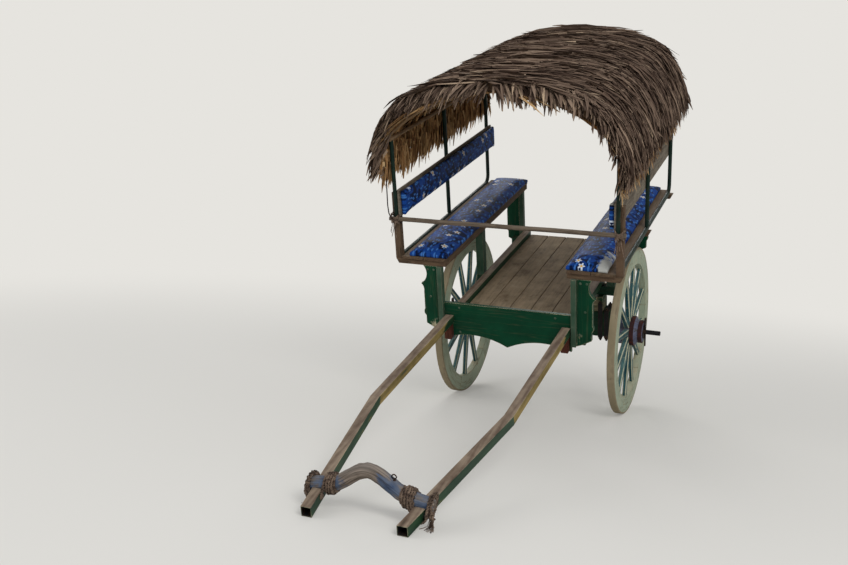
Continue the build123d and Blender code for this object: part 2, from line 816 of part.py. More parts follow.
lashing_radius = yoke_radius + lashing_thickness
tube_clear = tube_size / 2 + lashing_thickness
with BuildPart() as lashings:
    with BuildSketch(Plane.YZ.offset(crossing - tube_clear - lashing_inner_length)):
        with Locations((-yoke_place, yoke_end_height + yoke_slope * (yoke_half_length - crossing))):
            RegularPolygon(lashing_radius, yoke_facets)
    extrude(amount=lashing_inner_length + 2 * tube_clear + lashing_outer_length)
    with BuildSketch(Plane.XY.offset(shaft_top - tube_size - lashing_thickness)):
        with Locations(Location((crossing, -yoke_place, 0), (0, 0, 1), -shaft_turn)):
            Rectangle(2 * tube_clear, 2 * yoke_radius)
    extrude(amount=tube_size + lashing_thickness + yoke_radius)
    add(yoke.part, mode=Mode.SUBTRACT)
    with BuildSketch(Plane.XY.offset(shaft_top + fit / 2)):
        with Locations(Location((crossing, -yoke_place, 0), (0, 0, 1), -shaft_turn)):
            Rectangle(tube_size + fit, 4 * lashing_radius)
    extrude(amount=-tube_size - fit, mode=Mode.SUBTRACT)
    mirror(about=Plane.YZ)
keep("lashings", lashings)


# Parked stance: turned about the axle until the lower edges of the shaft tips touch the ground
tip_bottom = shaft_height - tube_size / 2 - wheel_radius
tip_distance = sqrt(shaft_reach**2 + tip_bottom**2)
lean = degrees(asin(wheel_radius / tip_distance) + atan2(tip_bottom, shaft_reach))
axle_centre = Axis((0, 0, wheel_radius), (1, 0, 0))
stood = {name: piece.rotate(axle_centre, lean) for name, piece in pieces.items()}
lowest_y = min(piece.bounding_box().min.Y for piece in stood.values())
highest_y = max(piece.bounding_box().max.Y for piece in stood.values())
middle = (lowest_y + highest_y) / 2
for name, piece in stood.items():
    piece = piece.moved(Location((0, -middle, 0)))
    piece.label = name
    export_step(piece, f"parts/{name}.step")
print(f"lean {lean:.4f} degrees, axle at y {-middle:.3f}, z {wheel_radius:.3f}")
axle_end_stop = axle_reach - axle_end_chamfer
print(f"axle end from x {axle_end_start:.3f} to {axle_end_stop:.3f}, radius {axle_end_radius}")
print(f"shaft tip at x {shaft_tip_offset:.3f}, y {-shaft_reach:.3f}, z {shaft_height:.3f}")
crown_drop = yoke_crown_bend * (sqrt(1 + crown_slope**2) - 1)
neck_height = yoke_end_height + yoke_crown_rise - crown_drop - yoke_radius
print(f"yoke neck at y {-yoke_place:.3f}, z {neck_height:.3f}")
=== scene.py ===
"""The look of a two-wheeled bullock cart with a thatched roof, parked on its wheels and shafts.

Pieces are made on the level cart, in metres: x across, y along with the front at -y, z up. They
are then turned forward about the axle to the stance in which the cart is packed.
"""
import random
from math import cos, pi, radians, sin, sqrt

import bmesh
import bpy
from mathutils import Matrix, Vector, noise
from mathutils.bvhtree import BVHTree


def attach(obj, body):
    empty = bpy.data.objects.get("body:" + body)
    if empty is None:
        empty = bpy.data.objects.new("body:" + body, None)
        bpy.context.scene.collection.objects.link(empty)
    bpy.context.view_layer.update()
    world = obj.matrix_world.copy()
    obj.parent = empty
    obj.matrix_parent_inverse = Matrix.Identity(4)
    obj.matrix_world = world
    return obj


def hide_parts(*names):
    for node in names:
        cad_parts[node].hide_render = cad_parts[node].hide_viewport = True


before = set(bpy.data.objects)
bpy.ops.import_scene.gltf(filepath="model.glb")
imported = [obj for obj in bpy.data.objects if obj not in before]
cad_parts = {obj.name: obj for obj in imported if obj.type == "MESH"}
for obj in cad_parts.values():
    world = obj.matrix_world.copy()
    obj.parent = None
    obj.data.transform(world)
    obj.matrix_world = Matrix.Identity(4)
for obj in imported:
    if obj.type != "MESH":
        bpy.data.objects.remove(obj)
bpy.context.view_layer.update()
# The cart leans forward about its axle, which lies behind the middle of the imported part
lean = radians(16.9141)
axle_height = 0.55
axle_y = 0.946064
parked = (
    Matrix.Translation((0, axle_y, axle_height))
    @ Matrix.Rotation(lean, 4, "X")
    @ Matrix.Translation((0, 0, -axle_height))
)


# Camera, lamps and floor
# The camera keeps the photograph's direction, lens and slight roll over the ground, and stands
# further back, so that the lowered shafts are in view. Plain soft lamps, and a plain pale floor.
view_azimuth = radians(22.2)
view_pitch = radians(6.2)
view_roll = radians(3.2)
lamp_aim = Vector((0, 0.2, 1.0))
camera_data = bpy.data.cameras.new("camera")
camera_data.lens = 42.45
camera_data.sensor_width = 36.0
camera = bpy.data.objects.new("camera", camera_data)
camera.matrix_world = (
    Matrix.Translation((1.77, -5.62, 1.50))
    @ Matrix.Rotation(view_azimuth, 4, "Z")
    @ Matrix.Rotation(pi / 2 - view_pitch, 4, "X")
    @ Matrix.Rotation(view_roll, 4, "Z")
)
bpy.context.scene.collection.objects.link(camera)
bpy.context.scene.camera = camera
bpy.context.scene.view_settings.view_transform = "Standard"

# Each lamp: where it hangs, its side in metres and its power in watts
lamp_table = {
    "key_lamp": ((4.2, -5.6, 5.2), 3.0, 300.0),
    "fill_lamp": ((-5.5, -4.0, 3.2), 4.0, 110.0),
    "back_lamp": ((-2.5, 6.0, 5.5), 3.0, 160.0),
}
for lamp_name, (lamp_place, lamp_side, lamp_power) in lamp_table.items():
    lamp_data = bpy.data.lights.new(lamp_name, "AREA")
    lamp_data.shape = "SQUARE"
    lamp_data.size = lamp_side
    lamp_data.energy = lamp_power
    lamp = bpy.data.objects.new(lamp_name, lamp_data)
    lamp.location = lamp_place
    lamp.rotation_euler = (lamp_aim - lamp.location).to_track_quat("-Z", "Y").to_euler()
    bpy.context.scene.collection.objects.link(lamp)


def linear(code):
    """An sRGB hex colour as the linear colour that a socket takes."""
    parts = [int(code[place:place + 2], 16) / 255 for place in (1, 3, 5)]
    return [*[p / 12.92 if p <= 0.04045 else ((p + 0.055) / 1.055) ** 2.4 for p in parts], 1.0]


def add_node(owner, kind, settings=None, links=None):
    """Adds a node, makes its settings, and fills its sockets.

    links gives a socket its value, the output that leads to it, or a node, which stands for the
    first output that it has in use.
    """
    made = owner.node_tree.nodes.new("ShaderNode" + kind)
    for key, value in (settings or {}).items():
        setattr(made, key, value)
    for key, value in (links or {}).items():
        if isinstance(value, bpy.types.Node):
            value = next(output for output in value.outputs if output.enabled)
        if isinstance(value, bpy.types.NodeSocket):
            owner.node_tree.links.new(value, made.inputs[key])
        else:
            made.inputs[key].default_value = value
    return made


def new_material(name):
    """A material whose nodes are still to come."""
    made = bpy.data.materials.new(name)
    made.use_nodes = True
    made.node_tree.nodes.clear()
    return made


wall_colour = linear("#e6e4df")
world = bpy.data.worlds.new("studio")
bpy.context.scene.world = world
world.use_nodes = True
world.node_tree.nodes.clear()
# The cart is lit by a soft sky; what is seen straight or mirrored is the pale wall
light_path = add_node(world, "LightPath")
mirrored = add_node(world, "Math", {"operation": "MAXIMUM"}, {
    0: light_path.outputs["Is Glossy Ray"], 1: light_path.outputs["Is Transmission Ray"]})
seen = add_node(world, "Math", {"operation": "MAXIMUM"}, {
    0: light_path.outputs["Is Camera Ray"], 1: mirrored})
soft_sky = add_node(world, "Background", links={"Color": linear("#f4f6fa"), "Strength": 0.5})
pale_wall = add_node(world, "Background", links={"Color": wall_colour, "Strength": 1.0})
both = add_node(world, "MixShader", links={0: seen, 1: soft_sky, 2: pale_wall})
add_node(world, "OutputWorld", links={"Surface": both})

# Pale concrete, dull and even: it takes the cart's shadow, and further out is as bright as the wall
floor_material = new_material("pale_concrete")
floor_place = add_node(floor_material, "TexCoord").outputs["Object"]
floor_reach = add_node(floor_material, "VectorMath", {"operation": "LENGTH"}, {0: floor_place})
floor_fade = add_node(floor_material, "MapRange", {"interpolation_type": "SMOOTHERSTEP"}, {
    "Value": floor_reach, "From Min": 1.5, "From Max": 9.0, "To Min": 0.25, "To Max": 1.0})
floor_path = add_node(floor_material, "LightPath")
floor_seen = add_node(floor_material, "Math", {"operation": "MULTIPLY"}, {
    0: floor_fade, 1: floor_path.outputs["Is Camera Ray"]})
floor_dull = add_node(floor_material, "BsdfDiffuse", links={"Color": linear("#dcdad4")})
floor_glow = add_node(floor_material, "Emission", links={"Color": wall_colour, "Strength": 1.0})
floor_mix = add_node(floor_material, "MixShader", links={
    0: floor_seen, 1: floor_dull, 2: floor_glow})
add_node(floor_material, "OutputMaterial", links={"Surface": floor_mix})
floor_mesh = bpy.data.meshes.new("floor")
floor_shape = bmesh.new()
bmesh.ops.create_grid(floor_shape, x_segments=1, y_segments=1, size=60)
floor_shape.to_mesh(floor_mesh)
floor_shape.free()
floor_mesh.materials.append(floor_material)
floor = bpy.data.objects.new("floor", floor_mesh)
bpy.context.scene.collection.objects.link(floor)


# Wheels
# Each is a turned hardwood nave with twelve shaved spokes and six sawn felloes under an iron
# tyre shrunk on hot. The nave has three wrought bands. Painted sage and teal, dusty from the road.
wheel_place = 0.567
rim_steps = 96
nave_steps = 48
felloe_steps = 14
# Each outline goes round a section: distance outwards from the wheel's middle, and radius
tyre_outline = [
    (-0.023, 0.541), (-0.023, 0.547), (-0.0205, 0.5498), (0.0205, 0.5498), (0.023, 0.547),
    (0.023, 0.541)]
felloe_outline = [
    (-0.023, 0.5405), (-0.023, 0.444), (-0.019, 0.441), (0.019, 0.441), (0.023, 0.444),
    (0.023, 0.5405)]
felloe_gap = radians(0.22)
nave_outline = [
    (-0.095, 0.0205), (-0.095, 0.088), (-0.091, 0.092), (-0.069, 0.092), (-0.066, 0.0903),
    (-0.063, 0.092), (0.016, 0.092), (0.045, 0.092), (0.0475, 0.0905), (0.052, 0.0855),
    (0.058, 0.0785), (0.0645, 0.072), (0.069, 0.069), (0.0925, 0.069), (0.0965, 0.065),
    (0.0965, 0.045), (0.0935, 0.042), (0.0935, 0.0205)]
# Each band: where it starts along the nave, and the radius of its seat
nave_band_table = [(-0.095, 0.092), (0.019, 0.092), (0.069, 0.069)]
# A band's outline, from its start and its seat
band_outline = [
    (0.0, 0.0), (0.0, 0.005), (0.0015, 0.0062), (0.0245, 0.0062), (0.026, 0.005), (0.026, 0.0)]
# Stations along a spoke: distance from the hub, width and thickness
spoke_stations = [
    (0.088, 0.041, 0.035), (0.108, 0.040, 0.034), (0.122, 0.037, 0.032), (0.20, 0.035, 0.030),
    (0.32, 0.0315, 0.027), (0.418, 0.030, 0.025), (0.4405, 0.032, 0.027)]
chance = random.Random(41)


def turned(shape, outline, centre, outwards, steps, start=0.0, sweep=2 * pi):
    """Adds a solid turned round the axle from an outline of distances outwards and radii."""
    around = Matrix.Rotation(start, 4, "X")
    corners = [
        shape.verts.new(centre + around @ Vector((outwards * out, 0, radius)))
        for out, radius in outline]
    sides = [shape.edges.new(pair) for pair in zip(corners, corners[1:] + corners[:1])]
    whole = abs(sweep - 2 * pi) < 1e-6
    geometry = corners + sides
    if not whole:
        geometry.append(shape.faces.new(corners))
    bmesh.ops.spin(
        shape, geom=geometry, cent=centre, axis=(1, 0, 0), angle=sweep, steps=steps,
        use_merge=whole, use_duplicate=False)


def grain_start():
    """Where one timber's grain starts: anywhere, so that no two timbers look alike."""
    return Vector((chance.uniform(0, 9), chance.uniform(0, 9), chance.uniform(0, 9)))


def carry_grain(shape, follow):
    """Writes each point's place on its timber: two directions across the grain, then along it."""
    layer = shape.verts.layers.float_vector.new("grain")
    done = set()
    for first in shape.verts:
        if first in done:
            continue
        done.add(first)
        reached = [first]
        start = grain_start()
        for vert in reached:
            vert[layer] = Vector(follow(vert.co)) + start
            for edge in vert.link_edges:
                other = edge.other_vert(vert)
                if other not in done:
                    done.add(other)
                    reached.append(other)


along_x = lambda place: (place.y, place.z, place.x)
along_y = lambda place: (place.x, place.z, place.y)
along_z = lambda place: (place.x, place.y, place.z)


def along_rim(hub, radius):
    """The grain of a ring round the hub: across it, outwards, and along its curve at a radius."""
    bearing = lambda place: Vector((place.y, place.z - hub.z)).angle_signed(Vector((0, 1)))
    return lambda place: (place.x, (place - hub).length, bearing(place) * radius)


def joined(shapes, layer=None):
    """Several shapes as one; layer names the places that their points carry already."""
    whole = bmesh.new()
    if layer:
        whole.verts.layers.float_vector.new(layer)
    for shape in shapes:
        part = bpy.data.meshes.new("part")
        shape.to_mesh(part)
        shape.free()
        whole.from_mesh(part)
        bpy.data.meshes.remove(part)
    return whole


def settle(name, shape, materials, nodes=(), body="root"):
    """Makes a shape a softly shaded object, which rides on a body and may replace CAD nodes."""
    for face in shape.faces:
        face.smooth = True
    mesh = bpy.data.meshes.new(name)
    shape.to_mesh(mesh)
    shape.free()
    for material in materials:
        mesh.materials.append(material)
    piece = bpy.data.objects.new(name, mesh)
    bpy.context.scene.collection.objects.link(piece)
    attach(piece, body)
    if nodes:
        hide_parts(*nodes)
    return piece


def make_piece(name, shape, materials, nodes=(), body="root", follow=along_z, flat=True):
    """Turns a level shape into a parked piece with grain, its corners sharp and the rest soft."""
    bmesh.ops.recalc_face_normals(shape, faces=shape.faces)
    if "grain" not in shape.verts.layers.float_vector:
        carry_grain(shape, follow)
    bmesh.ops.transform(shape, matrix=parked, verts=shape.verts)
    corner_angle = radians(38)
    for edge in shape.edges:
        edge.smooth = edge.is_manifold and edge.calc_face_angle() < corner_angle
    piece = settle(name, shape, materials, nodes, body)
    if flat:
        piece.modifiers.new("even_shading", "WEIGHTED_NORMAL").keep_sharp = True


def worn_surface(name, under, over, cover, edge_wear, roughness, scale=1.0, dust=None,
                 metallic=0.0, cracking=0.6, rubbed=()):
    """A coat over a timber or metal, worn through at its edges and in patches.

    under is the bare colours, dark and light, over the coat's, cover how much of it is left from
    0 to 1, roughness that of the bare part and of the coat, and dust the pale film that lies on
    it. The grain shows as streaks along the timber. rubbed lists spots worn barer: each a point
    on the level cart, its reach and its strength.
    """
    made = new_material(name)
    grain = add_node(made, "Attribute", {"attribute_name": "grain"}).outputs["Vector"]
    streak_place = add_node(made, "Mapping", links={
        "Vector": grain, "Scale": (70 * scale, 70 * scale, 5 * scale)})
    streaks = add_node(made, "TexNoise", links={
        "Vector": streak_place, "Scale": 1.0, "Detail": 6.0, "Roughness": 0.62})
    crack_place = add_node(made, "Mapping", links={
        "Vector": grain, "Scale": (38 * scale, 38 * scale, 1.6 * scale)})
    crack_field = add_node(made, "TexNoise", links={
        "Vector": crack_place, "Scale": 1.0, "Detail": 3.0, "Distortion": 0.4})
    crack_centre = add_node(made, "Math", {"operation": "SUBTRACT"}, {0: crack_field, 1: 0.5})
    crack_width = add_node(made, "Math", {"operation": "ABSOLUTE"}, {0: crack_centre})
    cracks = add_node(made, "MapRange", links={
        "Value": crack_width, "From Min": 0.004, "From Max": 0.022, "To Min": 1.0, "To Max": 0.0})
    patches = add_node(made, "TexNoise", links={
        "Vector": grain, "Scale": 9.0 * scale, "Detail": 5.0, "Roughness": 0.6})
    flecks = add_node(made, "TexNoise", links={
        "Vector": streak_place, "Scale": 0.55, "Detail": 8.0, "Roughness": 0.7})

    # An edge is where a rounded normal leaves the real one
    soft_normal = add_node(made, "Bevel", {"samples": 6}, {"Radius": 0.007})
    hard_normal = add_node(made, "NewGeometry")
    match = add_node(made, "VectorMath", {"operation": "DOT_PRODUCT"}, {
        0: soft_normal, 1: hard_normal.outputs["Normal"]})
    edges = add_node(made, "MapRange", links={
        "Value": match, "From Min": 0.995, "From Max": 0.80, "To Min": 0.0, "To Max": 1.0})
    edge_part = add_node(made, "Math", {"operation": "MULTIPLY"}, {0: edges, 1: edge_wear})
    patch_part = add_node(made, "Math", {"operation": "ADD"}, {0: patches, 1: edge_part})
    for spot, spot_reach, strength in rubbed:
        place = add_node(made, "TexCoord").outputs["Object"]
        spot_gap = add_node(made, "VectorMath", {"operation": "DISTANCE"}, {
            0: place, 1: parked @ Vector(spot)})
        spot_wear = add_node(made, "MapRange", {"interpolation_type": "SMOOTHSTEP"}, {
            "Value": spot_gap, "From Min": 0.0, "From Max": spot_reach,
            "To Min": strength, "To Max": 0.0})
        patch_part = add_node(made, "Math", {"operation": "ADD"}, {0: patch_part, 1: spot_wear})
    fleck_part = add_node(made, "Math", {"operation": "MULTIPLY_ADD"}, {
        0: flecks, 1: 0.55, 2: patch_part})
    bare = add_node(made, "MapRange", links={
        "Value": fleck_part, "From Min": 0.56 + 0.5 * cover, "From Max": 0.66 + 0.5 * cover})

    timber = add_node(made, "MapRange", links={
        "Value": streaks, "From Min": 0.34, "From Max": 0.66})
    timber_colour = add_node(made, "Mix", {"data_type": "RGBA"}, {
        0: timber, 6: linear(under[0]), 7: linear(under[1])})
    tone = add_node(made, "MapRange", links={"Value": patches, "From Min": 0.3, "From Max": 0.7})
    coat_tone = add_node(made, "Mix", {"data_type": "RGBA"}, {
        0: tone, 6: linear(over[0]), 7: linear(over[1])})
    colour = add_node(made, "Mix", {"data_type": "RGBA"}, {
        0: bare, 6: coat_tone, 7: timber_colour})
    # Cracks are drawn in the dark bare colour: partly the bare timber in them, partly painted shade in
    # their depth
    crack_painted_shade = add_node(made, "Math", {"operation": "MULTIPLY"}, {0: cracks, 1: cracking})
    cracks_painted_dark = add_node(made, "Mix", {"data_type": "RGBA"}, {
        0: crack_painted_shade, 6: colour, 7: linear(under[0])})
    finished = cracks_painted_dark
    if dust:
        upward = add_node(made, "SeparateXYZ", links={0: hard_normal.outputs["Normal"]})
        settled = add_node(made, "MapRange", links={
            "Value": upward.outputs["Z"], "From Min": -0.2, "From Max": 1.0,
            "To Min": 0.12, "To Max": 0.8})
        dusty = add_node(made, "Math", {"operation": "MULTIPLY"}, {0: settled, 1: tone})
        finished = add_node(made, "Mix", {"data_type": "RGBA"}, {
            0: dusty, 6: finished, 7: linear(dust)})
    shine = add_node(made, "MapRange", links={
        "Value": bare, "To Min": roughness[1], "To Max": roughness[0]})
    height = add_node(made, "Math", {"operation": "MULTIPLY_ADD"}, {
        0: cracks, 1: -1.3 * cracking, 2: streaks})
    step_down = add_node(made, "Math", {"operation": "MULTIPLY_ADD"}, {
        0: bare, 1: -0.35, 2: height})
    relief = add_node(made, "Bump", links={
        "Height": step_down, "Strength": 0.55, "Distance": 0.0016})
    shader = add_node(made, "BsdfPrincipled", links={
        "Base Color": finished, "Roughness": shine, "Specular IOR Level": 0.1,
        "Metallic": metallic, "Normal": relief})
    add_node(made, "OutputMaterial", links={"Surface": shader})
    return made


# Forged iron tyre, brown with road dust and polished dull where it runs
tyre_iron = worn_surface(
    "dusty_tyre_iron", ("#776a57", "#94876e"), ("#877b63", "#978b71"), 0.55, 0.2, (0.6, 0.85),
    cracking=0.12)
# Oil paint of a pale sage green on felloes, gone chalky, with brown timber at its edges
sage_paint = worn_surface(
    "chalky_sage_paint", ("#6d5f49", "#9c8c6e"), ("#93a18c", "#aab49c"), 0.72, 0.45, (0.85, 0.7),
    dust="#b3a78c")
# The same paint mixed to a teal for the spokes, deeper in the shade of the nave
teal_paint = worn_surface(
    "worn_teal_paint", ("#6f6a55", "#a8a184"), ("#0d333c", "#194c55"), 0.82, 0.4, (0.8, 0.5),
    dust="#6f908c", cracking=0.3)
# Cream lining brushed along the spokes' chamfers by hand
cream_lining = worn_surface(
    "cream_lining_paint", ("#33616a", "#7f8f80"), ("#a9ab90", "#c4c3a8"), 0.55, 0.0, (0.8, 0.6),
    cracking=0.3)
# Nave timber: old slate-blue paint, greasy and bruised
nave_paint = worn_surface(
    "bruised_slate_paint", ("#2e2a2c", "#57504e"), ("#4b5168", "#6a6d80"), 0.55, 0.35, (0.6, 0.5))
# Wrought nave bands under red-brown rust, with a dull dark skin
band_iron = worn_surface(
    "rusty_band_iron", ("#3a1d18", "#5d2f24"), ("#2c1f20", "#43292a"), 0.5, 0.2, (0.8, 0.55), 2.0)

for side, outwards in (("left", 1), ("right", -1)):
    hub = Vector((outwards * wheel_place, 0, axle_height))
    body = f"{side}_wheel"

    tyre = bmesh.new()
    turned(tyre, tyre_outline, hub, outwards, rim_steps)
    make_piece(f"{side}_tyre", tyre, [tyre_iron], [f"{side}_tyre_and_bands"], body,
               along_rim(hub, 0.55))

    bands = bmesh.new()
    for start, seat in nave_band_table:
        outline = [(start + across, seat + rise) for across, rise in band_outline]
        turned(bands, outline, hub, outwards, nave_steps)
    make_piece(f"{side}_nave_bands", bands, [band_iron], [f"{side}_tyre_and_bands"],
               body, along_x)

    nave = bmesh.new()
    turned(nave, nave_outline, hub, outwards, nave_steps)
    make_piece(f"{side}_turned_nave", nave, [nave_paint], [f"{side}_nave"], body,
               along_x)

    felloes = bmesh.new()
    for number in range(6):
        turned(felloes, felloe_outline, hub, outwards, felloe_steps,
               radians(60 * number - 30) + felloe_gap / 2, radians(60) - felloe_gap)
    make_piece(f"{side}_sawn_felloes", felloes, [sage_paint], [f"{side}_felloes"],
               body, along_rim(hub, 0.49))

    spokes = []
    for number in range(12):
        spoke = bmesh.new()
        layer = spoke.verts.layers.float_vector.new("grain")
        reach, width, thickness = spoke_stations[0]
        bmesh.ops.create_grid(spoke, x_segments=1, y_segments=1, size=0.5, matrix=Matrix.LocRotScale(
            Vector((0, 0, reach)), None, Vector((thickness, width, 1))))
        tip = spoke.faces[:]
        for before, after in zip(spoke_stations, spoke_stations[1:]):
            grown = bmesh.ops.extrude_face_region(spoke, geom=tip)["geom"]
            corners = [part for part in grown if isinstance(part, bmesh.types.BMVert)]
            tip = [part for part in grown if isinstance(part, bmesh.types.BMFace)]
            bmesh.ops.scale(spoke, vec=(after[2] / before[2], after[1] / before[1], 1), verts=corners)
            bmesh.ops.translate(spoke, vec=(0, 0, after[0] - before[0]), verts=corners)
        bmesh.ops.recalc_face_normals(spoke, faces=spoke.faces)
        long_edges = [
            edge for edge in spoke.edges
            if abs((edge.verts[0].co - edge.verts[1].co).normalized().z) > 0.9]
        chamfers = bmesh.ops.bevel(
            spoke, geom=long_edges, offset=0.005, affect="EDGES", segments=1, profile=0.5,
            material=-1)
        for face in chamfers["faces"]:
            face.material_index = 1
        start = grain_start()
        for vert in spoke.verts:
            vert[layer] = vert.co + start
        turn = radians(30 * number + 15)
        bmesh.ops.transform(
            spoke, verts=spoke.verts,
            matrix=Matrix.Translation(hub) @ Matrix.Rotation(turn - pi / 2, 4, "X"))
        spokes.append(spoke)
    make_piece(f"{side}_shaved_spokes", joined(spokes, "grain"), [teal_paint, cream_lining],
               [f"{side}_spokes"], body)


# Axle, washers and linchpins
# One forged bar through both wheels, held outside each nave by a loose washer and a long
# round-headed linchpin dropped through a slot. Black with grease and road dirt.

# Forged iron: black oxide and grease, brown where it has rusted
forged_iron = worn_surface(
    "greasy_forged_iron", ("#2a1f1a", "#4a372c"), ("#17171a", "#2b2a2c"), 0.5, 0.35, (0.7, 0.42),
    2.0, metallic=0.25)


def worn_copy(node, edge, segments=2, holed=False):
    """A level copy of a CAD piece as one skin, with its edges worn round by that many metres.

    A piece with holes through it keeps its triangles, because one flat face can't hold a hole.
    """
    shape = bmesh.new()
    shape.from_mesh(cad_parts[node].data)
    bmesh.ops.remove_doubles(shape, verts=shape.verts, dist=1e-5)
    if not holed:
        bmesh.ops.dissolve_limit(shape, angle_limit=radians(1), verts=shape.verts, edges=shape.edges)
    bmesh.ops.transform(shape, matrix=parked.inverted(), verts=shape.verts)
    if edge:
        sharp = [e for e in shape.edges if e.is_manifold and e.calc_face_angle() > radians(25)]
        bmesh.ops.bevel(
            shape, geom=sharp, offset=edge, affect="EDGES", segments=segments, profile=0.5,
            material=-1, clamp_overlap=True)
    return shape


make_piece("forged_axle", worn_copy("axle_bar", 0.0, holed=True), [forged_iron],
           ["axle_bar"], follow=along_x)
make_piece("loose_washers", worn_copy("axle_washers", 0.001, 1, holed=True), [forged_iron],
           ["axle_washers"])
make_piece("round_headed_linchpins", worn_copy("linchpins", 0.0015), [forged_iron],
           ["linchpins"])


# Axle beam, bolsters and straps
# A squared hardwood beam lies on the axle, with a slant-edged bolster over each end. Flat iron
# straps drawn tight by nuts hold them together. Nearly black green paint, much handled.

# Dark green oil paint that has sunk and gone brown-black with grease
beam_paint = worn_surface(
    "blackened_green_paint", ("#2c2a20", "#4d4a38"), ("#0c2a1e", "#15402c"), 0.78, 0.35, (0.75, 0.55),
    dust="#3f4634")
# The bolsters' paint has flaked to pale timber on their open faces
bolster_paint = worn_surface(
    "flaked_bolster_paint", ("#5b5240", "#a89c80"), ("#17351f", "#264a30"), 0.46, 0.6, (0.85, 0.6))
# Strap iron: black with rusty runs
strap_iron = worn_surface(
    "strap_iron", ("#3b2a22", "#57402f"), ("#151617", "#27282a"), 0.62, 0.3, (0.75, 0.5), 2.0)
make_piece("squared_axle_beam", worn_copy("axle_beam", 0.005), [beam_paint],
           ["axle_beam"], follow=along_x)
make_piece("slanted_bolsters", worn_copy("bolsters", 0.004), [bolster_paint],
           ["bolsters"], follow=along_x)
# Each strap: how far out it stands, and how far its legs run up beside the bolster. The outer one
# closes over the beam.
strap_table = [(0.430, 0.0), (0.390, 0.058)]
strap_bottom = 0.503
strap_top = 0.695
strap_width = 0.030
strap_depth = 0.130
straps = []
for outwards in (1, -1):
    for across, legs in strap_table:
        strap = bmesh.new()
        bmesh.ops.create_grid(strap, x_segments=1, y_segments=1, size=0.5, matrix=Matrix.LocRotScale(
            Vector((outwards * across - strap_width / 2, 0, (strap_bottom + strap_top + legs) / 2)),
            Matrix.Rotation(pi / 2, 3, "Y"),
            Vector((strap_top - strap_bottom + legs, strap_depth, 1))))
        opening = strap.faces[:]
        bmesh.ops.inset_region(
            strap, faces=opening, thickness=0.005, use_boundary=True, use_even_offset=True)
        open_top = [
            face for face in strap.faces
            if legs and face not in opening and face.calc_center_median().z > strap_top]
        bmesh.ops.delete(strap, geom=opening + open_top, context="FACES")
        grown = bmesh.ops.extrude_face_region(strap, geom=strap.faces[:])["geom"]
        corners = [part for part in grown if isinstance(part, bmesh.types.BMVert)]
        bmesh.ops.translate(strap, vec=(strap_width, 0, 0), verts=corners)
        bmesh.ops.recalc_face_normals(strap, faces=strap.faces)
        rims = [edge for edge in strap.edges if edge.calc_face_angle() > radians(60)]
        bmesh.ops.bevel(
            strap, geom=rims, offset=0.0012, affect="EDGES", segments=2, profile=0.5, material=-1)
        straps.append(strap)
make_piece("beam_strap_irons", joined(straps), [strap_iron], ["beam_straps"])

# A nut on the end of each strap's studs, above and below
strap_nuts = bmesh.new()
for outwards in (1, -1):
    for across, legs in strap_table:
        for front in (-0.05453, 0.05453):
            for height, stud in ((0.698 + legs, 0.003), (0.498, -0.003)):
                nut_place = Vector((outwards * across, front, height))
                bmesh.ops.create_cone(
                    strap_nuts, cap_ends=True, segments=6, radius1=0.0125, radius2=0.0125,
                    depth=0.011, matrix=Matrix.Translation(nut_place))
                bmesh.ops.create_cone(
                    strap_nuts, cap_ends=True, segments=10, radius1=0.0065, radius2=0.0058,
                    depth=0.026, matrix=Matrix.Translation(nut_place + Vector((0, 0, stud))))
make_piece("strap_nuts", strap_nuts, [strap_iron])


# Floor frame and floor
# Three squared bearers cross the bolsters and carry five planks between the shafts. The planks
# are sawn hardwood, bare, trodden grey-brown.

# Sawn hardwood left bare: silver-brown, with open grain and drying cracks
bare_plank = worn_surface(
    "trodden_bare_plank", ("#4a3a2a", "#8a765b"), ("#6a5a45", "#8f7d63"), 0.3, 0.4, (0.85, 0.8),
    dust="#a3937a")
make_piece("floor_planks", worn_copy("floor_boards", 0.0025), [bare_plank],
           ["floor_boards"], follow=along_y)
make_piece("squared_cross_bearers", worn_copy("cross_bearers", 0.003), [beam_paint],
           ["cross_bearers"], follow=along_x)


# Shafts
# Square steel tube, one length a side, run under the floor and mitred and welded where it turns
# in towards the yoke. Green paint on the sides, rubbed to brown on top and along one stretch.

# Painted tube: green enamel at the sides, brown-grey steel where loads and hands have rubbed it
tube_paint = new_material("rubbed_tube_enamel")
tube_place = add_node(tube_paint, "Attribute", {"attribute_name": "grain"}).outputs["Vector"]
tube_axes = add_node(tube_paint, "SeparateXYZ", links={0: tube_place})
tube_noise = add_node(tube_paint, "TexNoise", links={
    "Vector": tube_place, "Scale": 26.0, "Detail": 7.0, "Roughness": 0.65})
tube_long = add_node(tube_paint, "Mapping", links={"Vector": tube_place, "Scale": (34, 34, 3.5)})
tube_streaks = add_node(tube_paint, "TexNoise", links={
    "Vector": tube_long, "Scale": 1.0, "Detail": 6.0})
tube_face = add_node(tube_paint, "NewGeometry")
tube_up = add_node(tube_paint, "SeparateXYZ", links={0: tube_face.outputs["Normal"]})
rubbed_top = add_node(tube_paint, "MapRange", links={
    "Value": tube_up.outputs["Z"], "From Min": 0.35, "From Max": 0.8})
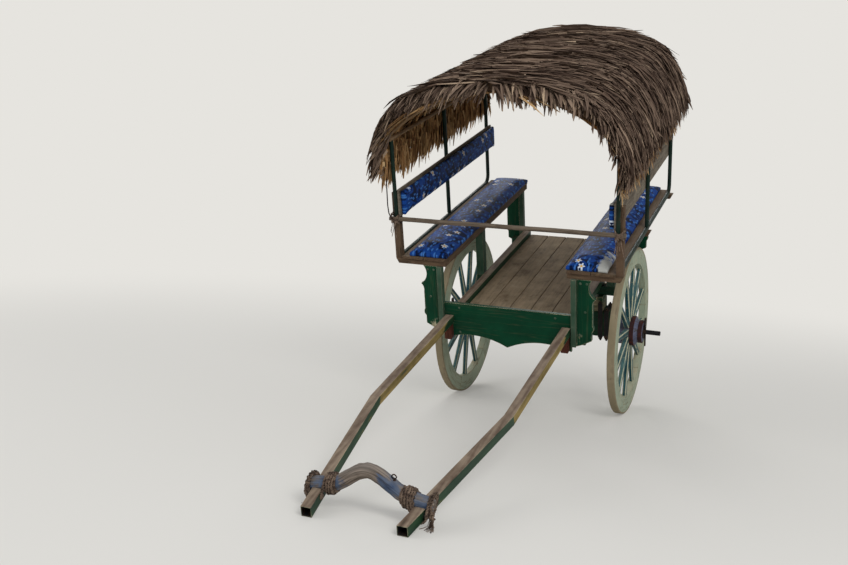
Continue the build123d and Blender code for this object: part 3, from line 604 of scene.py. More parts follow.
# The rubbed stretch lies between the front board and the bend
stretch_start = add_node(tube_paint, "MapRange", links={
    "Value": tube_axes.outputs["Z"], "From Min": -1.9, "From Max": -1.88})
stretch_end = add_node(tube_paint, "MapRange", links={
    "Value": tube_axes.outputs["Z"], "From Min": -1.02, "From Max": -0.9,
    "To Min": 1.0, "To Max": 0.0})
stretch = add_node(tube_paint, "Math", {"operation": "MULTIPLY"}, {
    0: stretch_start, 1: stretch_end})
worn_share = add_node(tube_paint, "Math", {"operation": "MAXIMUM"}, {0: rubbed_top, 1: stretch})
worn_level = add_node(tube_paint, "Math", {"operation": "MULTIPLY_ADD"}, {
    0: worn_share, 1: 0.42, 2: tube_streaks})
worn_mask = add_node(tube_paint, "MapRange", links={
    "Value": worn_level, "From Min": 0.66, "From Max": 0.74})
rub_level = add_node(tube_paint, "Math", {"operation": "MULTIPLY_ADD"}, {
    0: tube_noise, 1: 0.35, 2: tube_streaks})
rub_mix = add_node(tube_paint, "MapRange", links={
    "Value": rub_level, "From Min": 0.52, "From Max": 0.84})
ochre = add_node(tube_paint, "Mix", {"data_type": "RGBA"}, {
    0: rub_mix, 6: linear("#6a5c36"), 7: linear("#94804f")})
brown = add_node(tube_paint, "Mix", {"data_type": "RGBA"}, {
    0: rub_mix, 6: linear("#5d4d41"), 7: linear("#8f7f6d")})
rubbed = add_node(tube_paint, "Mix", {"data_type": "RGBA"}, {0: rubbed_top, 6: ochre, 7: brown})
green = add_node(tube_paint, "Mix", {"data_type": "RGBA"}, {
    0: rub_mix, 6: linear("#15301f"), 7: linear("#27432b")})
tube_colour = add_node(tube_paint, "Mix", {"data_type": "RGBA"}, {
    0: worn_mask, 6: green, 7: rubbed})
tube_soft = add_node(tube_paint, "Bevel", {"samples": 6}, {"Radius": 0.005})
tube_match = add_node(tube_paint, "VectorMath", {"operation": "DOT_PRODUCT"}, {
    0: tube_soft, 1: tube_face.outputs["Normal"]})
tube_edge = add_node(tube_paint, "MapRange", links={
    "Value": tube_match, "From Min": 0.99, "From Max": 0.85, "To Min": 0.0, "To Max": 0.8})
tube_edge_rub = add_node(tube_paint, "Math", {"operation": "MULTIPLY"}, {0: tube_edge, 1: rub_mix})
tube_edged = add_node(tube_paint, "Mix", {"data_type": "RGBA"}, {
    0: tube_edge_rub, 6: tube_colour, 7: linear("#b9ad92")})
tube_rough = add_node(tube_paint, "MapRange", links={
    "Value": worn_mask, "To Min": 0.42, "To Max": 0.72})
tube_relief = add_node(tube_paint, "Bump", links={
    "Height": tube_streaks, "Strength": 0.4, "Distance": 0.001})
tube_shader = add_node(tube_paint, "BsdfPrincipled", links={
    "Base Color": tube_edged, "Roughness": tube_rough, "Specular IOR Level": 0.12,
    "Normal": tube_relief})
add_node(tube_paint, "OutputMaterial", links={"Surface": tube_shader})
for side in ("left", "right"):
    tube = worn_copy(f"{side}_shaft", 0.0, holed=True)
    tube_layer = tube.verts.layers.float_vector.new("grain")
    outer_edges = [
        edge for edge in tube.edges if edge.is_manifold and edge.calc_face_angle() > radians(60)]
    bmesh.ops.bevel(
        tube, geom=outer_edges, offset=0.0012, affect="EDGES", segments=2, profile=0.5,
        material=-1)
    for vert in tube.verts:
        vert[tube_layer] = (vert.co.x, vert.co.z, vert.co.y)
    # Only faces of the bore look across at another wall; they are left black
    walls = BVHTree.FromBMesh(tube)
    for face in tube.faces:
        start = face.calc_center_median() + face.normal * 1e-4
        face.material_index = int(walls.ray_cast(start, face.normal, 0.06)[0] is not None)
    make_piece(f"{side}_square_tube_shaft", tube, [tube_paint, forged_iron],
               [f"{side}_shaft"])


# Corner boards and posts, front board and blocks, middle uprights
# Sawn planks with scalloped outer edges stand before square posts at the four corners, and a
# board with a two-arched lower edge closes the front. Bolted, and painted a deep gloss green.

# Deep green gloss enamel, rubbed to pale timber along every edge
green_enamel = worn_surface(
    "deep_green_enamel", ("#6b6248", "#c4bb9e"), ("#032f1d", "#043c26"), 1.06, 0.85, (0.75, 0.45),
    cracking=0.12, rubbed=[((0.475, -0.83, 0.84), 0.16, 0.27), ((-0.475, -0.83, 0.82), 0.14, 0.25)])
# The same enamel on the posts, thinned and gone grey
grey_enamel = worn_surface(
    "greyed_green_enamel", ("#4d4c3d", "#827f69"), ("#26402f", "#3c5444"), 0.70, 0.5, (0.8, 0.55),
    dust="#5d685a", cracking=0.35)
# Red-brown primer on the blocks under the shafts
red_block = worn_surface(
    "red_brown_block", ("#2c1a13", "#553226"), ("#3a1d17", "#522a20"), 0.4, 0.3, (0.85, 0.7))
for end in ("front", "rear"):
    make_piece(f"{end}_scalloped_boards", worn_copy(f"{end}_corner_boards", 0.0028), [green_enamel],
               [f"{end}_corner_boards"])
make_piece("arched_front_board", worn_copy("front_board", 0.0028, holed=True), [green_enamel],
           ["front_board"], follow=along_x)
make_piece("square_corner_posts", worn_copy("corner_posts", 0.0025), [grey_enamel],
           ["corner_posts"])
make_piece("square_middle_uprights", worn_copy("middle_uprights", 0.003), [grey_enamel],
           ["middle_uprights"])
make_piece("shaft_blocks", worn_copy("front_blocks", 0.003), [red_block],
           ["front_blocks"])

# Coach bolts: two through the head of each corner board and two lower down, at both ends of the
# cart, and four in the front board. Each as its place across, along and up.
bolt_table = [
    (across, end, height)
    for across, height in ((0.452, 1.196), (0.490, 1.196), (0.447, 0.872), (0.480, 1.02))
    for end in (-0.8292, 0.8292)]
bolt_table += [(0.30, -0.8245, 0.80), (0.30, -0.8245, 0.96)]
bolt_heads = bmesh.new()
for outwards in (1, -1):
    for across, end, height in bolt_table:
        bmesh.ops.create_uvsphere(
            bolt_heads, u_segments=12, v_segments=8, radius=0.0075,
            matrix=Matrix.LocRotScale(
                Vector((outwards * across, end, height)), None, Vector((1, 0.45, 1))))
make_piece("coach_bolt_heads", bolt_heads, [grey_enamel])


# Benches
# Sawn bearers with slanted ends cross the corner posts and uprights. Rails tie their inner ends,
# and two bare boards on each side carry the cushions.

# Sawn hardwood, brown, oiled by hands and weather
brown_timber = worn_surface(
    "handled_brown_timber", ("#2e241c", "#66523f"), ("#4c3b2e", "#665240"), 0.35, 0.35, (0.8, 0.68),
    dust="#746552")
make_piece("slant_ended_bearers", worn_copy("seat_bearers", 0.0028), [brown_timber],
           ["seat_bearers"], follow=along_x)
make_piece("seat_tie_rails", worn_copy("seat_rails", 0.0025), [brown_timber],
           ["seat_rails"], follow=along_y)
make_piece("bench_planks", worn_copy("bench_boards", 0.002), [brown_timber],
           ["bench_boards"], follow=along_y)


# Cushions and backrest pads
# Foam slabs under blue flowered vinyl, pulled over a board and tacked beneath, so that the top
# crowns and the corners bunch. The vinyl is rubbed to its pale backing where people sit down.
cushion_size = (0.256, 1.664, 0.020)
cushion_place = (0.485, 0, 1.2805)
cushion_crown = 0.030
pad_size = (0.022, 1.664, 0.156)
pad_place = (0.6265, 0, 1.6075)
pad_crown = 0.006
voxel = 0.009
blown_cap = 0.008


def flowered_vinyl(name, worn_end):
    """Printed vinyl: blue with pale leaves and scattered five-petalled flowers, gloss rubbed dull.

    The pattern reads the cloth attribute, across and along the cover in metres. worn_end is where
    the print starts to be rubbed away and where it is gone, across and then along.
    """
    made = new_material(name)
    cloth = add_node(made, "Attribute", {"attribute_name": "cloth"}).outputs["Vector"]
    shapes = add_node(made, "TexNoise", links={
        "Vector": cloth, "Scale": 16.0, "Detail": 2.0, "Distortion": 1.4})
    ground = add_node(made, "MapRange", {"interpolation_type": "SMOOTHSTEP"}, {
        "Value": shapes, "From Min": 0.44, "From Max": 0.56})
    blues = add_node(made, "Mix", {"data_type": "RGBA"}, {
        0: ground, 6: linear("#0a1736"), 7: linear("#173f86")})
    # Leaves: one petal-shaped blot to each cell, in a paler blue
    leaf_cells = add_node(made, "TexVoronoi", {"voronoi_dimensions": "2D"}, {
        "Vector": cloth, "Scale": 24.0})
    leaf_arm = add_node(made, "VectorMath", {"operation": "SUBTRACT"}, {
        0: cloth, 1: leaf_cells.outputs["Position"]})
    leaf_long = add_node(made, "VectorMath", {"operation": "MULTIPLY"}, {
        0: leaf_arm, 1: (1.0, 0.42, 0.0)})
    leaf_reach = add_node(made, "VectorMath", {"operation": "LENGTH"}, {0: leaf_long})
    leaf_blot = add_node(made, "MapRange", links={
        "Value": leaf_reach, "From Min": 0.0065, "From Max": 0.0050})
    # Flowers: five petals round a yellow eye, about 45 mm across
    cells = add_node(made, "TexVoronoi", {"voronoi_dimensions": "2D"}, {
        "Vector": cloth, "Scale": 9.0, "Randomness": 0.75})
    arm = add_node(made, "VectorMath", {"operation": "SUBTRACT"}, {
        0: cloth, 1: cells.outputs["Position"]})
    arm_parts = add_node(made, "SeparateXYZ", links={0: arm})
    bearing = add_node(made, "Math", {"operation": "ARCTAN2"}, {
        0: arm_parts.outputs["Y"], 1: arm_parts.outputs["X"]})
    five = add_node(made, "Math", {"operation": "MULTIPLY"}, {0: bearing, 1: 5.0})
    lobes = add_node(made, "Math", {"operation": "COSINE"}, {0: five})
    petal_edge = add_node(made, "Math", {"operation": "MULTIPLY_ADD"}, {
        0: lobes, 1: 0.0055, 2: 0.017})
    reach = add_node(made, "VectorMath", {"operation": "LENGTH"}, {0: arm})
    inside = add_node(made, "Math", {"operation": "SUBTRACT"}, {0: petal_edge, 1: reach})
    petals = add_node(made, "MapRange", links={
        "Value": inside, "From Min": 0.0, "From Max": 0.0015})
    chosen_colour = add_node(made, "SeparateColor", links={0: cells.outputs["Color"]})
    chosen = add_node(made, "Math", {"operation": "GREATER_THAN"}, {
        0: chosen_colour.outputs["Red"], 1: 0.45})
    petal_mask = add_node(made, "Math", {"operation": "MULTIPLY"}, {0: petals, 1: chosen})
    eye = add_node(made, "MapRange", links={"Value": reach, "From Min": 0.0085, "From Max": 0.007})
    eye_mask = add_node(made, "Math", {"operation": "MULTIPLY"}, {0: eye, 1: chosen})
    # Rubbed to the pale backing at one end and in scattered scuffs
    scuffs = add_node(made, "TexNoise", links={
        "Vector": cloth, "Scale": 22.0, "Detail": 6.0, "Roughness": 0.7})
    cloth_parts = add_node(made, "SeparateXYZ", links={0: cloth})
    near_end = add_node(made, "MapRange", links={
        "Value": cloth_parts.outputs["X"], "From Min": worn_end[0], "From Max": worn_end[1]})
    front_end = add_node(made, "MapRange", links={
        "Value": cloth_parts.outputs["Y"], "From Min": worn_end[2], "From Max": worn_end[3]})
    corner = add_node(made, "Math", {"operation": "MULTIPLY"}, {0: near_end, 1: front_end})
    rub_level = add_node(made, "Math", {"operation": "MULTIPLY_ADD"}, {
        0: corner, 1: 0.45, 2: scuffs})
    rub = add_node(made, "MapRange", links={"Value": rub_level, "From Min": 0.70, "From Max": 0.82})
    colour = blues
    for share, code in (
            (leaf_blot, "#3a6bae"), (petal_mask, "#c9d4e4"), (eye_mask, "#d8a83e"),
            (rub, "#a9aaa5")):
        colour = add_node(made, "Mix", {"data_type": "RGBA"}, {
            0: share, 6: colour, 7: linear(code)})
    gloss = add_node(made, "MapRange", links={"Value": rub, "To Min": 0.52, "To Max": 0.75})
    emboss = add_node(made, "TexVoronoi", links={"Vector": cloth, "Scale": 420.0})
    relief = add_node(made, "Bump", links={
        "Height": emboss.outputs["Distance"], "Strength": 0.12, "Distance": 0.0006})
    shader = add_node(made, "BsdfPrincipled", links={
        "Base Color": colour, "Roughness": gloss, "Specular IOR Level": 0.04, "Normal": relief})
    add_node(made, "OutputMaterial", links={"Surface": shader})
    return made


def padded_slab(name, size, centre, outwards, crown, thin, material, node):
    """A foam slab in a cloth cover: remeshed, blown up by cloth pressure, capped and smoothed.

    thin is the axis along which it is thin: 2 for a seat cushion, 0 for a backrest pad. crown is
    how far that side swells in its middle.
    """
    wide = 0 if thin == 2 else 2
    slab = bmesh.new()
    bmesh.ops.create_cube(slab, size=1, matrix=Matrix.LocRotScale(None, None, Vector(size)))
    bmesh.ops.subdivide_edges(slab, edges=slab.edges, cuts=12, use_grid_fill=True)
    middle = Vector(size) / 2
    for vert in slab.verts:
        if thin == 2 and vert.co.z > 0:
            rise = (1 - abs(vert.co.x / middle.x) ** 2.6) * (1 - abs(vert.co.y / middle.y) ** 30)
            vert.co.z += crown * rise
        if thin == 0 and vert.co.x * outwards < 0:
            rise = (1 - (vert.co.z / middle.z) ** 2) * (1 - abs(vert.co.y / middle.y) ** 10)
            vert.co.x -= crown * rise * outwards
    mesh = bpy.data.meshes.new(name)
    slab.to_mesh(mesh)
    slab.free()
    cover = bpy.data.objects.new(name, mesh)
    bpy.context.scene.collection.objects.link(cover)
    remesh = cover.modifiers.new("remesh", "REMESH")
    remesh.mode = "VOXEL"
    remesh.voxel_size = voxel
    bpy.context.view_layer.update()
    evaluated = cover.evaluated_get(bpy.context.evaluated_depsgraph_get())
    rest_mesh = bpy.data.meshes.new_from_object(evaluated)
    cover.modifiers.clear()
    cover.data = rest_mesh
    rest_places = [vert.co.copy() for vert in rest_mesh.vertices]
    last_frame = 20
    cloth = cover.modifiers.new("cloth", "CLOTH")
    cloth.settings.use_pressure = True
    cloth.settings.uniform_pressure_force = 4.0
    cloth.settings.effector_weights.gravity = 0.0
    cloth.settings.tension_stiffness = 12.0
    cloth.settings.bending_stiffness = 0.8
    cloth.point_cache.frame_start = 1
    cloth.point_cache.frame_end = last_frame
    for step in range(1, last_frame + 1):
        bpy.context.scene.frame_set(step)
    evaluated = cover.evaluated_get(bpy.context.evaluated_depsgraph_get())
    blown = [vert.co.copy() for vert in evaluated.data.vertices]
    cover.modifiers.clear()
    bpy.context.scene.frame_set(1)
    for vert, start, place in zip(rest_mesh.vertices, rest_places, blown):
        move = place - start
        move.length = min(move.length, blown_cap)
        vert.co = start + move
    # The cover is pulled down and tacked, which gathers it: short folds run in from the edges
    fold_reach, fold_depth = (0.045, 0.0032) if thin == 2 else (0.035, 0.0026)
    for vert in rest_mesh.vertices:
        place = vert.co
        edge_gap = min(middle[wide] - abs(place[wide]), middle.y - abs(place.y))
        pull = max(0.0, 1 - max(edge_gap, 0.0) / fold_reach)
        ripple = noise.noise(Vector((place.y * 34, place[wide] * 9, centre[0] * 5)))
        place[thin] += fold_depth * pull * ripple
        if thin == 2:
            place.z = max(place.z, -middle.z)
    # Both sides are cut from different parts of the print
    print_start = 5.0 if outwards > 0 else 7.3
    cloth_layer = rest_mesh.attributes.new("cloth", "FLOAT_VECTOR", "POINT")
    for vert, record in zip(rest_mesh.vertices, cloth_layer.data):
        flat_across = vert.co.x * outwards if thin == 2 else vert.co.z
        record.vector = (flat_across + 3.0, vert.co.y + print_start, 0.0)
    rest_mesh.transform(parked @ Matrix.Translation(centre))
    for polygon in rest_mesh.polygons:
        polygon.use_smooth = True
    rest_mesh.materials.append(material)
    finish = cover.modifiers.new("finish", "SUBSURF")
    finish.levels = 1
    finish.render_levels = 1
    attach(cover, "root")
    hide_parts(node)


for side, outwards, worn_end in (
        ("left", 1, (3.02, 3.09, 4.60, 4.20)), ("right", -1, (3.10, 3.16, 6.7, 6.4))):
    vinyl = flowered_vinyl(f"flowered_blue_vinyl_{side}", worn_end)
    for name, size, place, crown, thin, node in (
            ("seat_cushion", cushion_size, cushion_place, cushion_crown, 2, "cushion"),
            ("back_cushion", pad_size, pad_place, pad_crown, 0, "backrest_pad")):
        centre = Vector((outwards * place[0], place[1], place[2]))
        padded_slab(
            f"{side}_{name}", size, centre, outwards, crown, thin, vinyl, f"{side}_{node}")


# Posts, side bars, handrail and backrest boards
# Squared timber posts stand at the front of the benches. Iron-pipe bars run back from them at
# seat height and turn up at the rear corners. A peeled pole is tied across as a handrail.


def pole(points, radii, sides=12, waver=0.0, seed=0.0):
    """A round bar drawn out along points, its line and thickness wavering as grown wood does."""
    shape = bmesh.new()
    layer = shape.verts.layers.float_vector.new("grain")
    line = [Vector(point) for point in points]
    heading = (line[1] - line[0]).normalized()
    turn = heading.to_track_quat("Z", "Y")
    run = 0.0
    end = None
    before = None
    for number, place in enumerate(line):
        ahead = (line[min(number + 1, len(line) - 1)] - line[max(number - 1, 0)]).normalized()
        turn = heading.rotation_difference(ahead) @ turn
        heading = ahead
        run += (place - line[max(number - 1, 0)]).length
        radius = radii[min(number, len(radii) - 1)]
        swing = noise.noise_vector(Vector((run * 3.1, seed, 0.3))) * waver
        swell = 1 + waver * 22 * noise.noise(Vector((run * 14, seed, 4.0)))
        thickness = radius * swell
        section = Matrix.LocRotScale(place + swing, turn, Vector((thickness, thickness, 1)))
        if end is None:
            made = bmesh.ops.create_circle(
                shape, cap_ends=True, segments=sides, radius=1, matrix=section)["verts"]
            end = shape.faces[:]
        else:
            grown = bmesh.ops.extrude_face_region(shape, geom=end)["geom"]
            made = [part for part in grown if isinstance(part, bmesh.types.BMVert)]
            end = [part for part in grown if isinstance(part, bmesh.types.BMFace)]
            bmesh.ops.transform(shape, matrix=section @ before.inverted(), verts=made)
        for vert in made:
            round_place = section.inverted() @ vert.co
            vert[layer] = (
                round_place.x * radius * 1.6, round_place.y * radius * 1.6 + seed, run + seed)
        before = section
    return shape


def between(start, finish, step=0.07):
    """Points from start to finish, about a step apart."""
    start, finish = Vector(start), Vector(finish)
    count = max(1, round((finish - start).length / step))
    return [start.lerp(finish, number / count) for number in range(count + 1)]


# Peeled hardwood pole: grey-brown, polished by hands, with long drying cracks
peeled_pole = worn_surface(
    "peeled_pole_wood", ("#382e26", "#74675a"), ("#584c41", "#756959"), 0.3, 0.0, (0.75, 0.65),
    dust="#827666")
# Iron pipe under old dark green paint, black in its scratches
pipe_paint = worn_surface(
    "dark_green_pipe_paint", ("#1b1712", "#3c3026"), ("#10201a", "#1e332a"), 0.6, 0.2, (0.75, 0.45),
    1.6)
make_piece("timber_front_posts", worn_copy("front_posts", 0.003), [brown_timber],
           ["front_posts"])
rail_side = 0.667
bar_height = 1.267
rear_post_y = 0.806
post_top = 1.99
pipe_radius = 0.013
pipe_bend = 0.06
for side, outwards in (("left", 1), ("right", -1)):
    x = outwards * rail_side
    corner = [
        Vector((x, rear_post_y + pipe_bend * (sin(radians(turn)) - 1),
                bar_height + pipe_bend * (1 - cos(radians(turn)))))
        for turn in range(0, 91, 15)]
    bar_line = between((x, -0.784, bar_height), (x, 0.70, bar_height), 0.15) + corner
    bar_line += between((x, rear_post_y, 1.36), (x, rear_post_y, post_top), 0.12)
    make_piece(f"{side}_bent_side_bar", pole(bar_line, [pipe_radius], 12, 0.0004, 2.0 + outwards),
               [pipe_paint], [f"{side}_side_bar"], flat=False)
middle_posts = [
    pole(between((x, 0, 1.281), (x, 0, post_top), 0.12), [pipe_radius], 12, 0.0004, x)
    for x in (rail_side, -rail_side)]
make_piece("pipe_middle_posts", joined(middle_posts, "grain"), [pipe_paint],
           ["middle_posts"], flat=False)
handrail_y = -0.840
front_poles = [
    pole(between((x, handrail_y, 1.520), (x, handrail_y, post_top), 0.08), [0.012], 12, 0.0012, x)
    for x in (rail_side, -rail_side)]
make_piece("front_roof_poles", joined(front_poles, "grain"), [pipe_paint],
           ["front_poles"], flat=False)
handrail_height = 1.508
handrail_line = between(
    (-0.712, handrail_y, handrail_height), (0.712, handrail_y, handrail_height), 0.05)
make_piece("peeled_handrail", pole(handrail_line, [0.0135], 14, 0.0028, 1.7), [peeled_pole],
           ["handrail"], flat=False)
# Weathered grey board behind each pad
grey_board = worn_surface(
    "weathered_grey_board", ("#4c443b", "#857b6c"), ("#736a5c", "#8e8576"), 0.3, 0.3, (0.9, 0.82))
make_piece("backrest_planks", worn_copy("backrest_boards", 0.002), [grey_board],
           ["backrest_boards"], follow=along_y)
# The rod hangs by the right front post, and its foot is bent in under the handrail
thin_rod = between((-0.702, -0.862, 2.00), (-0.708, -0.866, 1.60)) + [
    Vector((-0.704, -0.866, 1.55)), Vector((-0.693, -0.866, 1.525)), Vector((-0.678, -0.862, 1.512))]
make_piece("thin_iron_rod", pole(thin_rod, [0.0034], 8, 0.0006, 3.0), [forged_iron],
           flat=False)


# Roof frame
# Peeled poles along both eaves carry four bent arches, with five split laths along them. All of
# it is light brown wood, dark where smoke and dust have settled.

# Peeled roof wood: warm light brown
roof_wood = worn_surface(
    "peeled_roof_wood", ("#5a4632", "#94795a"), ("#7b6347", "#a0866a"), 0.3, 0.0, (0.8, 0.7))
eave_rails = [
    pole(between((x, -0.87, 2.0), (x, 0.87, 2.0), 0.07), [0.013], 12, 0.0022, 5 + x)
    for x in (rail_side, -rail_side)]
make_piece("peeled_eave_rails", joined(eave_rails, "grain"), [roof_wood],
           ["eave_rails"], flat=False)
arch_centre = 1.2824
arch_radius = 1.003
arches = []
for number in range(4):
    arch_y = -0.83 + 1.66 * number / 3
    arc = [
        Vector((arch_radius * sin(radians(turn)), arch_y,
                arch_centre + arch_radius * cos(radians(turn))))
        for turn in range(-42, 43, 3)]
    arches.append(pole(arc, [0.0108], 10, 0.0016, 9 + number))
make_piece("bent_roof_arches", joined(arches, "grain"), [roof_wood],
           ["roof_arches"], flat=False)
make_piece("split_roof_laths", worn_copy("roof_laths", 0.002), [roof_wood],
           ["roof_laths"], follow=along_y)


# Thatch
# Coconut leaves, split and laid in courses from the eaves up, each course over the last, on a
# bed of packed leaf. Leaflets hang ragged over the eaves and both ends, and show underneath.

# The outer line of the roof from its ridge down one side, and on into the fringe below its hem:
# distance from the middle and height
roof_line = [
    (0.0, 2.376), (0.14, 2.371), (0.28, 2.354), (0.42, 2.320), (0.53, 2.278), (0.61, 2.208),
    (0.668, 2.125), (0.708, 2.035), (0.735, 1.945), (0.748, 1.850), (0.750, 1.780), (0.742, 1.700)]
# How far down that line the hem lies, and how far apart the courses
hem_run = 1.045
course_step = 0.105
# The hollow's radius round the arches' centre, and where the thatch ends along the roof
inner_radius = 1.026
thatch_end = 0.965


def dry_leaf(name, codes):
    """Dry coconut leaf: papery and matt, fibrous along its length, in colours dark to pale."""
    made = new_material(name)
    place = add_node(made, "Attribute", {"attribute_name": "leaf"}).outputs["Vector"]
    axes = add_node(made, "SeparateXYZ", links={0: place})
    stretch = add_node(made, "Mapping", links={"Vector": place, "Scale": (260.0, 9.0, 40.0)})
    fibre = add_node(made, "TexNoise", links={"Vector": stretch, "Scale": 1.0, "Detail": 4.0})
    spread = add_node(made, "Math", {"operation": "MULTIPLY_ADD"}, {
        0: fibre, 1: 0.5, 2: axes.outputs["Z"]})
    # The rib stands paler down the middle of each leaflet
    off_rib = add_node(made, "Math", {"operation": "ABSOLUTE"}, {0: axes.outputs["X"]})
    rib = add_node(made, "MapRange", links={
        "Value": off_rib, "From Min": 0.0006, "From Max": 0.0022, "To Min": 0.22, "To Max": 0.0})
    tone = add_node(made, "Math", {"operation": "ADD"}, {0: spread, 1: rib})
    tone_share = add_node(made, "MapRange", links={
        "Value": tone, "From Min": 0.2, "From Max": 1.35})
    ramp = add_node(made, "ValToRGB", links={0: tone_share})
    colours = ramp.color_ramp
    colours.elements[0].color = linear(codes[0])
    colours.elements[1].color = linear(codes[-1])
    for number, code in enumerate(codes[1:-1], 1):
        colours.elements.new(number / (len(codes) - 1)).color = linear(code)
    relief = add_node(made, "Bump", links={"Height": fibre, "Strength": 0.5, "Distance": 0.001})
    shader = add_node(made, "BsdfPrincipled", links={
        "Base Color": ramp, "Roughness": 0.82, "Specular IOR Level": 0.08, "Normal": relief})
    add_node(made, "OutputMaterial", links={"Surface": shader})
    return made


# Outside, sun and rain have turned the leaf a purplish grey-brown; inside it is still tan
weathered_leaf = dry_leaf(
    "weathered_coconut_leaf", ("#2a201a", "#493a31", "#6b594c", "#8d7968", "#b8a186"))
sheltered_leaf = dry_leaf(
    "sheltered_coconut_leaf", ("#3a2617", "#6a4a2e", "#94704a", "#b08d62", "#cfb287"))


def leaf_shape(fold, blunt):
    """A dry leaflet's plan: narrow, folded along its rib, with places across, along and off it."""
    shape = bmesh.new()
    layer = shape.verts.layers.float_vector.new("leaf")
    bmesh.ops.create_grid(shape, x_segments=2, y_segments=3, size=0.5)
    for vert in shape.verts:
        along = vert.co.y + 0.5
        spread = 1.1 - 0.2 * along if along < 0.9 else blunt
        across = vert.co.x * spread
        vert[layer] = (across, along, fold * abs(across))
    made = bpy.data.meshes.new("leaf")
    shape.to_mesh(made)
    shape.free()
    return made


leaf_kinds = [
    leaf_shape(fold, blunt)
    for fold, blunt in ((0.7, 0.1), (-0.6, 0.05), (0.4, 0.3), (0.9, 0.15), (-0.3, 0.2))]


def add_leaf(bunch, outwards, root, tip, start, face, width, shade):
    """Lays one leaflet from root to tip: it sets off along start, and droops off or over face.

    These are given for the left half of the roof; outwards is -1 to lay it on the right.
    """
    flip = Matrix.Diagonal((outwards, 1, 1))
    root, tip, face = flip @ root, flip @ tip, flip @ face
    start = (flip @ start).normalized()
    face = (face - start * face.dot(start)).normalized()
    side = start.cross(face)
    reach = tip - root
    ahead = reach.dot(start)
    droop = reach.dot(face)
    aside = reach.dot(side)
    leaf = chance.choice(leaf_kinds)
    bunch.from_mesh(leaf)
    bunch.verts.ensure_lookup_table()
    layer = bunch.verts.layers.float_vector["leaf"]
    for vert in bunch.verts[-len(leaf.vertices):]:
        across, along, lift = vert[layer]
        vert.co = (
            root + start * (ahead * along) + face * (droop * along ** 2 + lift * width)
            + side * (aside * along + across * width))
        vert[layer] = (across * width, along * reach.length, shade)


def roof_point(run):
    """The point that far down the roof's outer line, the line's direction there and its outside."""
    for (x0, z0), (x1, z1) in zip(roof_line, roof_line[1:]):
        length = sqrt((x1 - x0) ** 2 + (z1 - z0) ** 2)
        if run <= length or (x1, z1) == roof_line[-1]:
            share = min(1.0, run / length)
            down = Vector((x1 - x0, 0, z1 - z0)).normalized()
            point = Vector((x0 + (x1 - x0) * share, 0, z0 + (z1 - z0) * share))
            return point, down, Vector((-down.z, 0, down.x))
        run -= length


def leaf_shade(middle):
    """How pale one leaflet is, from 0 to 1, round that middle."""
    return min(1.0, max(0.0, chance.gauss(middle, 0.2)))


def finish_leaves(name, bunches, material):
    """Turns bunches of leaflets into one parked piece of the thatch."""
    whole = joined(bunches, "leaf")
    bmesh.ops.transform(whole, matrix=parked, verts=whole.verts)
    settle(name, whole, [material], ["thatch"])


def new_bunch():
    """An empty bunch, whose leaflets are to carry their places."""
    bunch = bmesh.new()
    bunch.verts.layers.float_vector.new("leaf")
    return bunch


for side, outwards in (("left", 1), ("right", -1)):
    bunches = []
    first = hem_run - 0.12
    while first > -0.04:
        bunch = new_bunch()
        place_y = -thatch_end
        while place_y < thatch_end:
            place_y += chance.uniform(0.004, 0.011)
            run = max(0.0, first + chance.uniform(-0.05, 0.05))
            length = chance.uniform(0.22, 0.36)
            end = min(run + length, hem_run + chance.uniform(-0.05, 0.08))
            point, down, out = roof_point(run)
            tip, _, tip_out = roof_point(end)
            loose = 0.035 if chance.random() < 0.04 else 0.012
            point = point - out * chance.uniform(0.004, 0.016) + Vector((0, place_y, 0))
            tip += tip_out * chance.uniform(-0.002, loose)
            tip.y += place_y + chance.gauss(0, 0.045)
            lean_out = Vector((out.x, chance.gauss(0, 0.3), out.z))
            add_leaf(bunch, outwards, point, tip, down, lean_out,
                     chance.uniform(0.012, 0.024), leaf_shade(0.40))
        bunches.append(bunch)
        first -= course_step
    finish_leaves(f"{side}_thatch_courses", bunches, weathered_leaf)

# Leaflets laid across the ridge, over both top courses
bunch = new_bunch()
for number in range(420):
    outwards = chance.choice((1, -1))
    place_y = chance.uniform(-thatch_end, thatch_end)
    root = Vector((-outwards * chance.uniform(0.04, 0.14), place_y, 2.372))
    tip = Vector((
        outwards * chance.uniform(0.08, 0.2), place_y + chance.gauss(0, 0.05),
        2.366 + chance.uniform(0.0, 0.012)))
    add_leaf(bunch, 1, root, tip, Vector((outwards, 0, 0.06)),
             Vector((0, chance.gauss(0, 0.3), 1)), chance.uniform(0.012, 0.024), leaf_shade(0.45))
finish_leaves("ridge_leaves", [bunch], weathered_leaf)

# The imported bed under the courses: a thick arched shell, uneven as pressed leaf is
bed = bmesh.new()
bed_depth = 0.016
bed_end = thatch_end - 0.025
bed_steps = 24
outer = []
for step in range(bed_steps + 1):
    point, _, out = roof_point(hem_run * step / bed_steps)
    point -= out * bed_depth
    outer.append((max(0.0, point.x), point.z))
inner_arc = [
    (inner_radius * sin(radians(turn)), arch_centre + inner_radius * cos(radians(turn)))
    for turn in range(42, -1, -3)]
half = outer + [(0.710, 1.865), (0.703, 1.94)] + inner_arc
profile = half + [(-x, z) for x, z in reversed(half) if x > 0.001]
ring = [bed.verts.new((x, -bed_end, z)) for x, z in profile]
rim = [bed.edges.new(pair) for pair in zip(ring, ring[1:] + ring[:1])]
bmesh.ops.triangle_fill(bed, edges=rim, use_beauty=True)
for step in range(bed_steps):
    grown = bmesh.ops.extrude_edge_only(bed, edges=rim)["geom"]
    rim = [part for part in grown if isinstance(part, bmesh.types.BMEdge)]
    corners = [part for part in grown if isinstance(part, bmesh.types.BMVert)]
    bmesh.ops.translate(bed, vec=(0, 2 * bed_end / bed_steps, 0), verts=corners)
bmesh.ops.triangle_fill(bed, edges=rim, use_beauty=True)
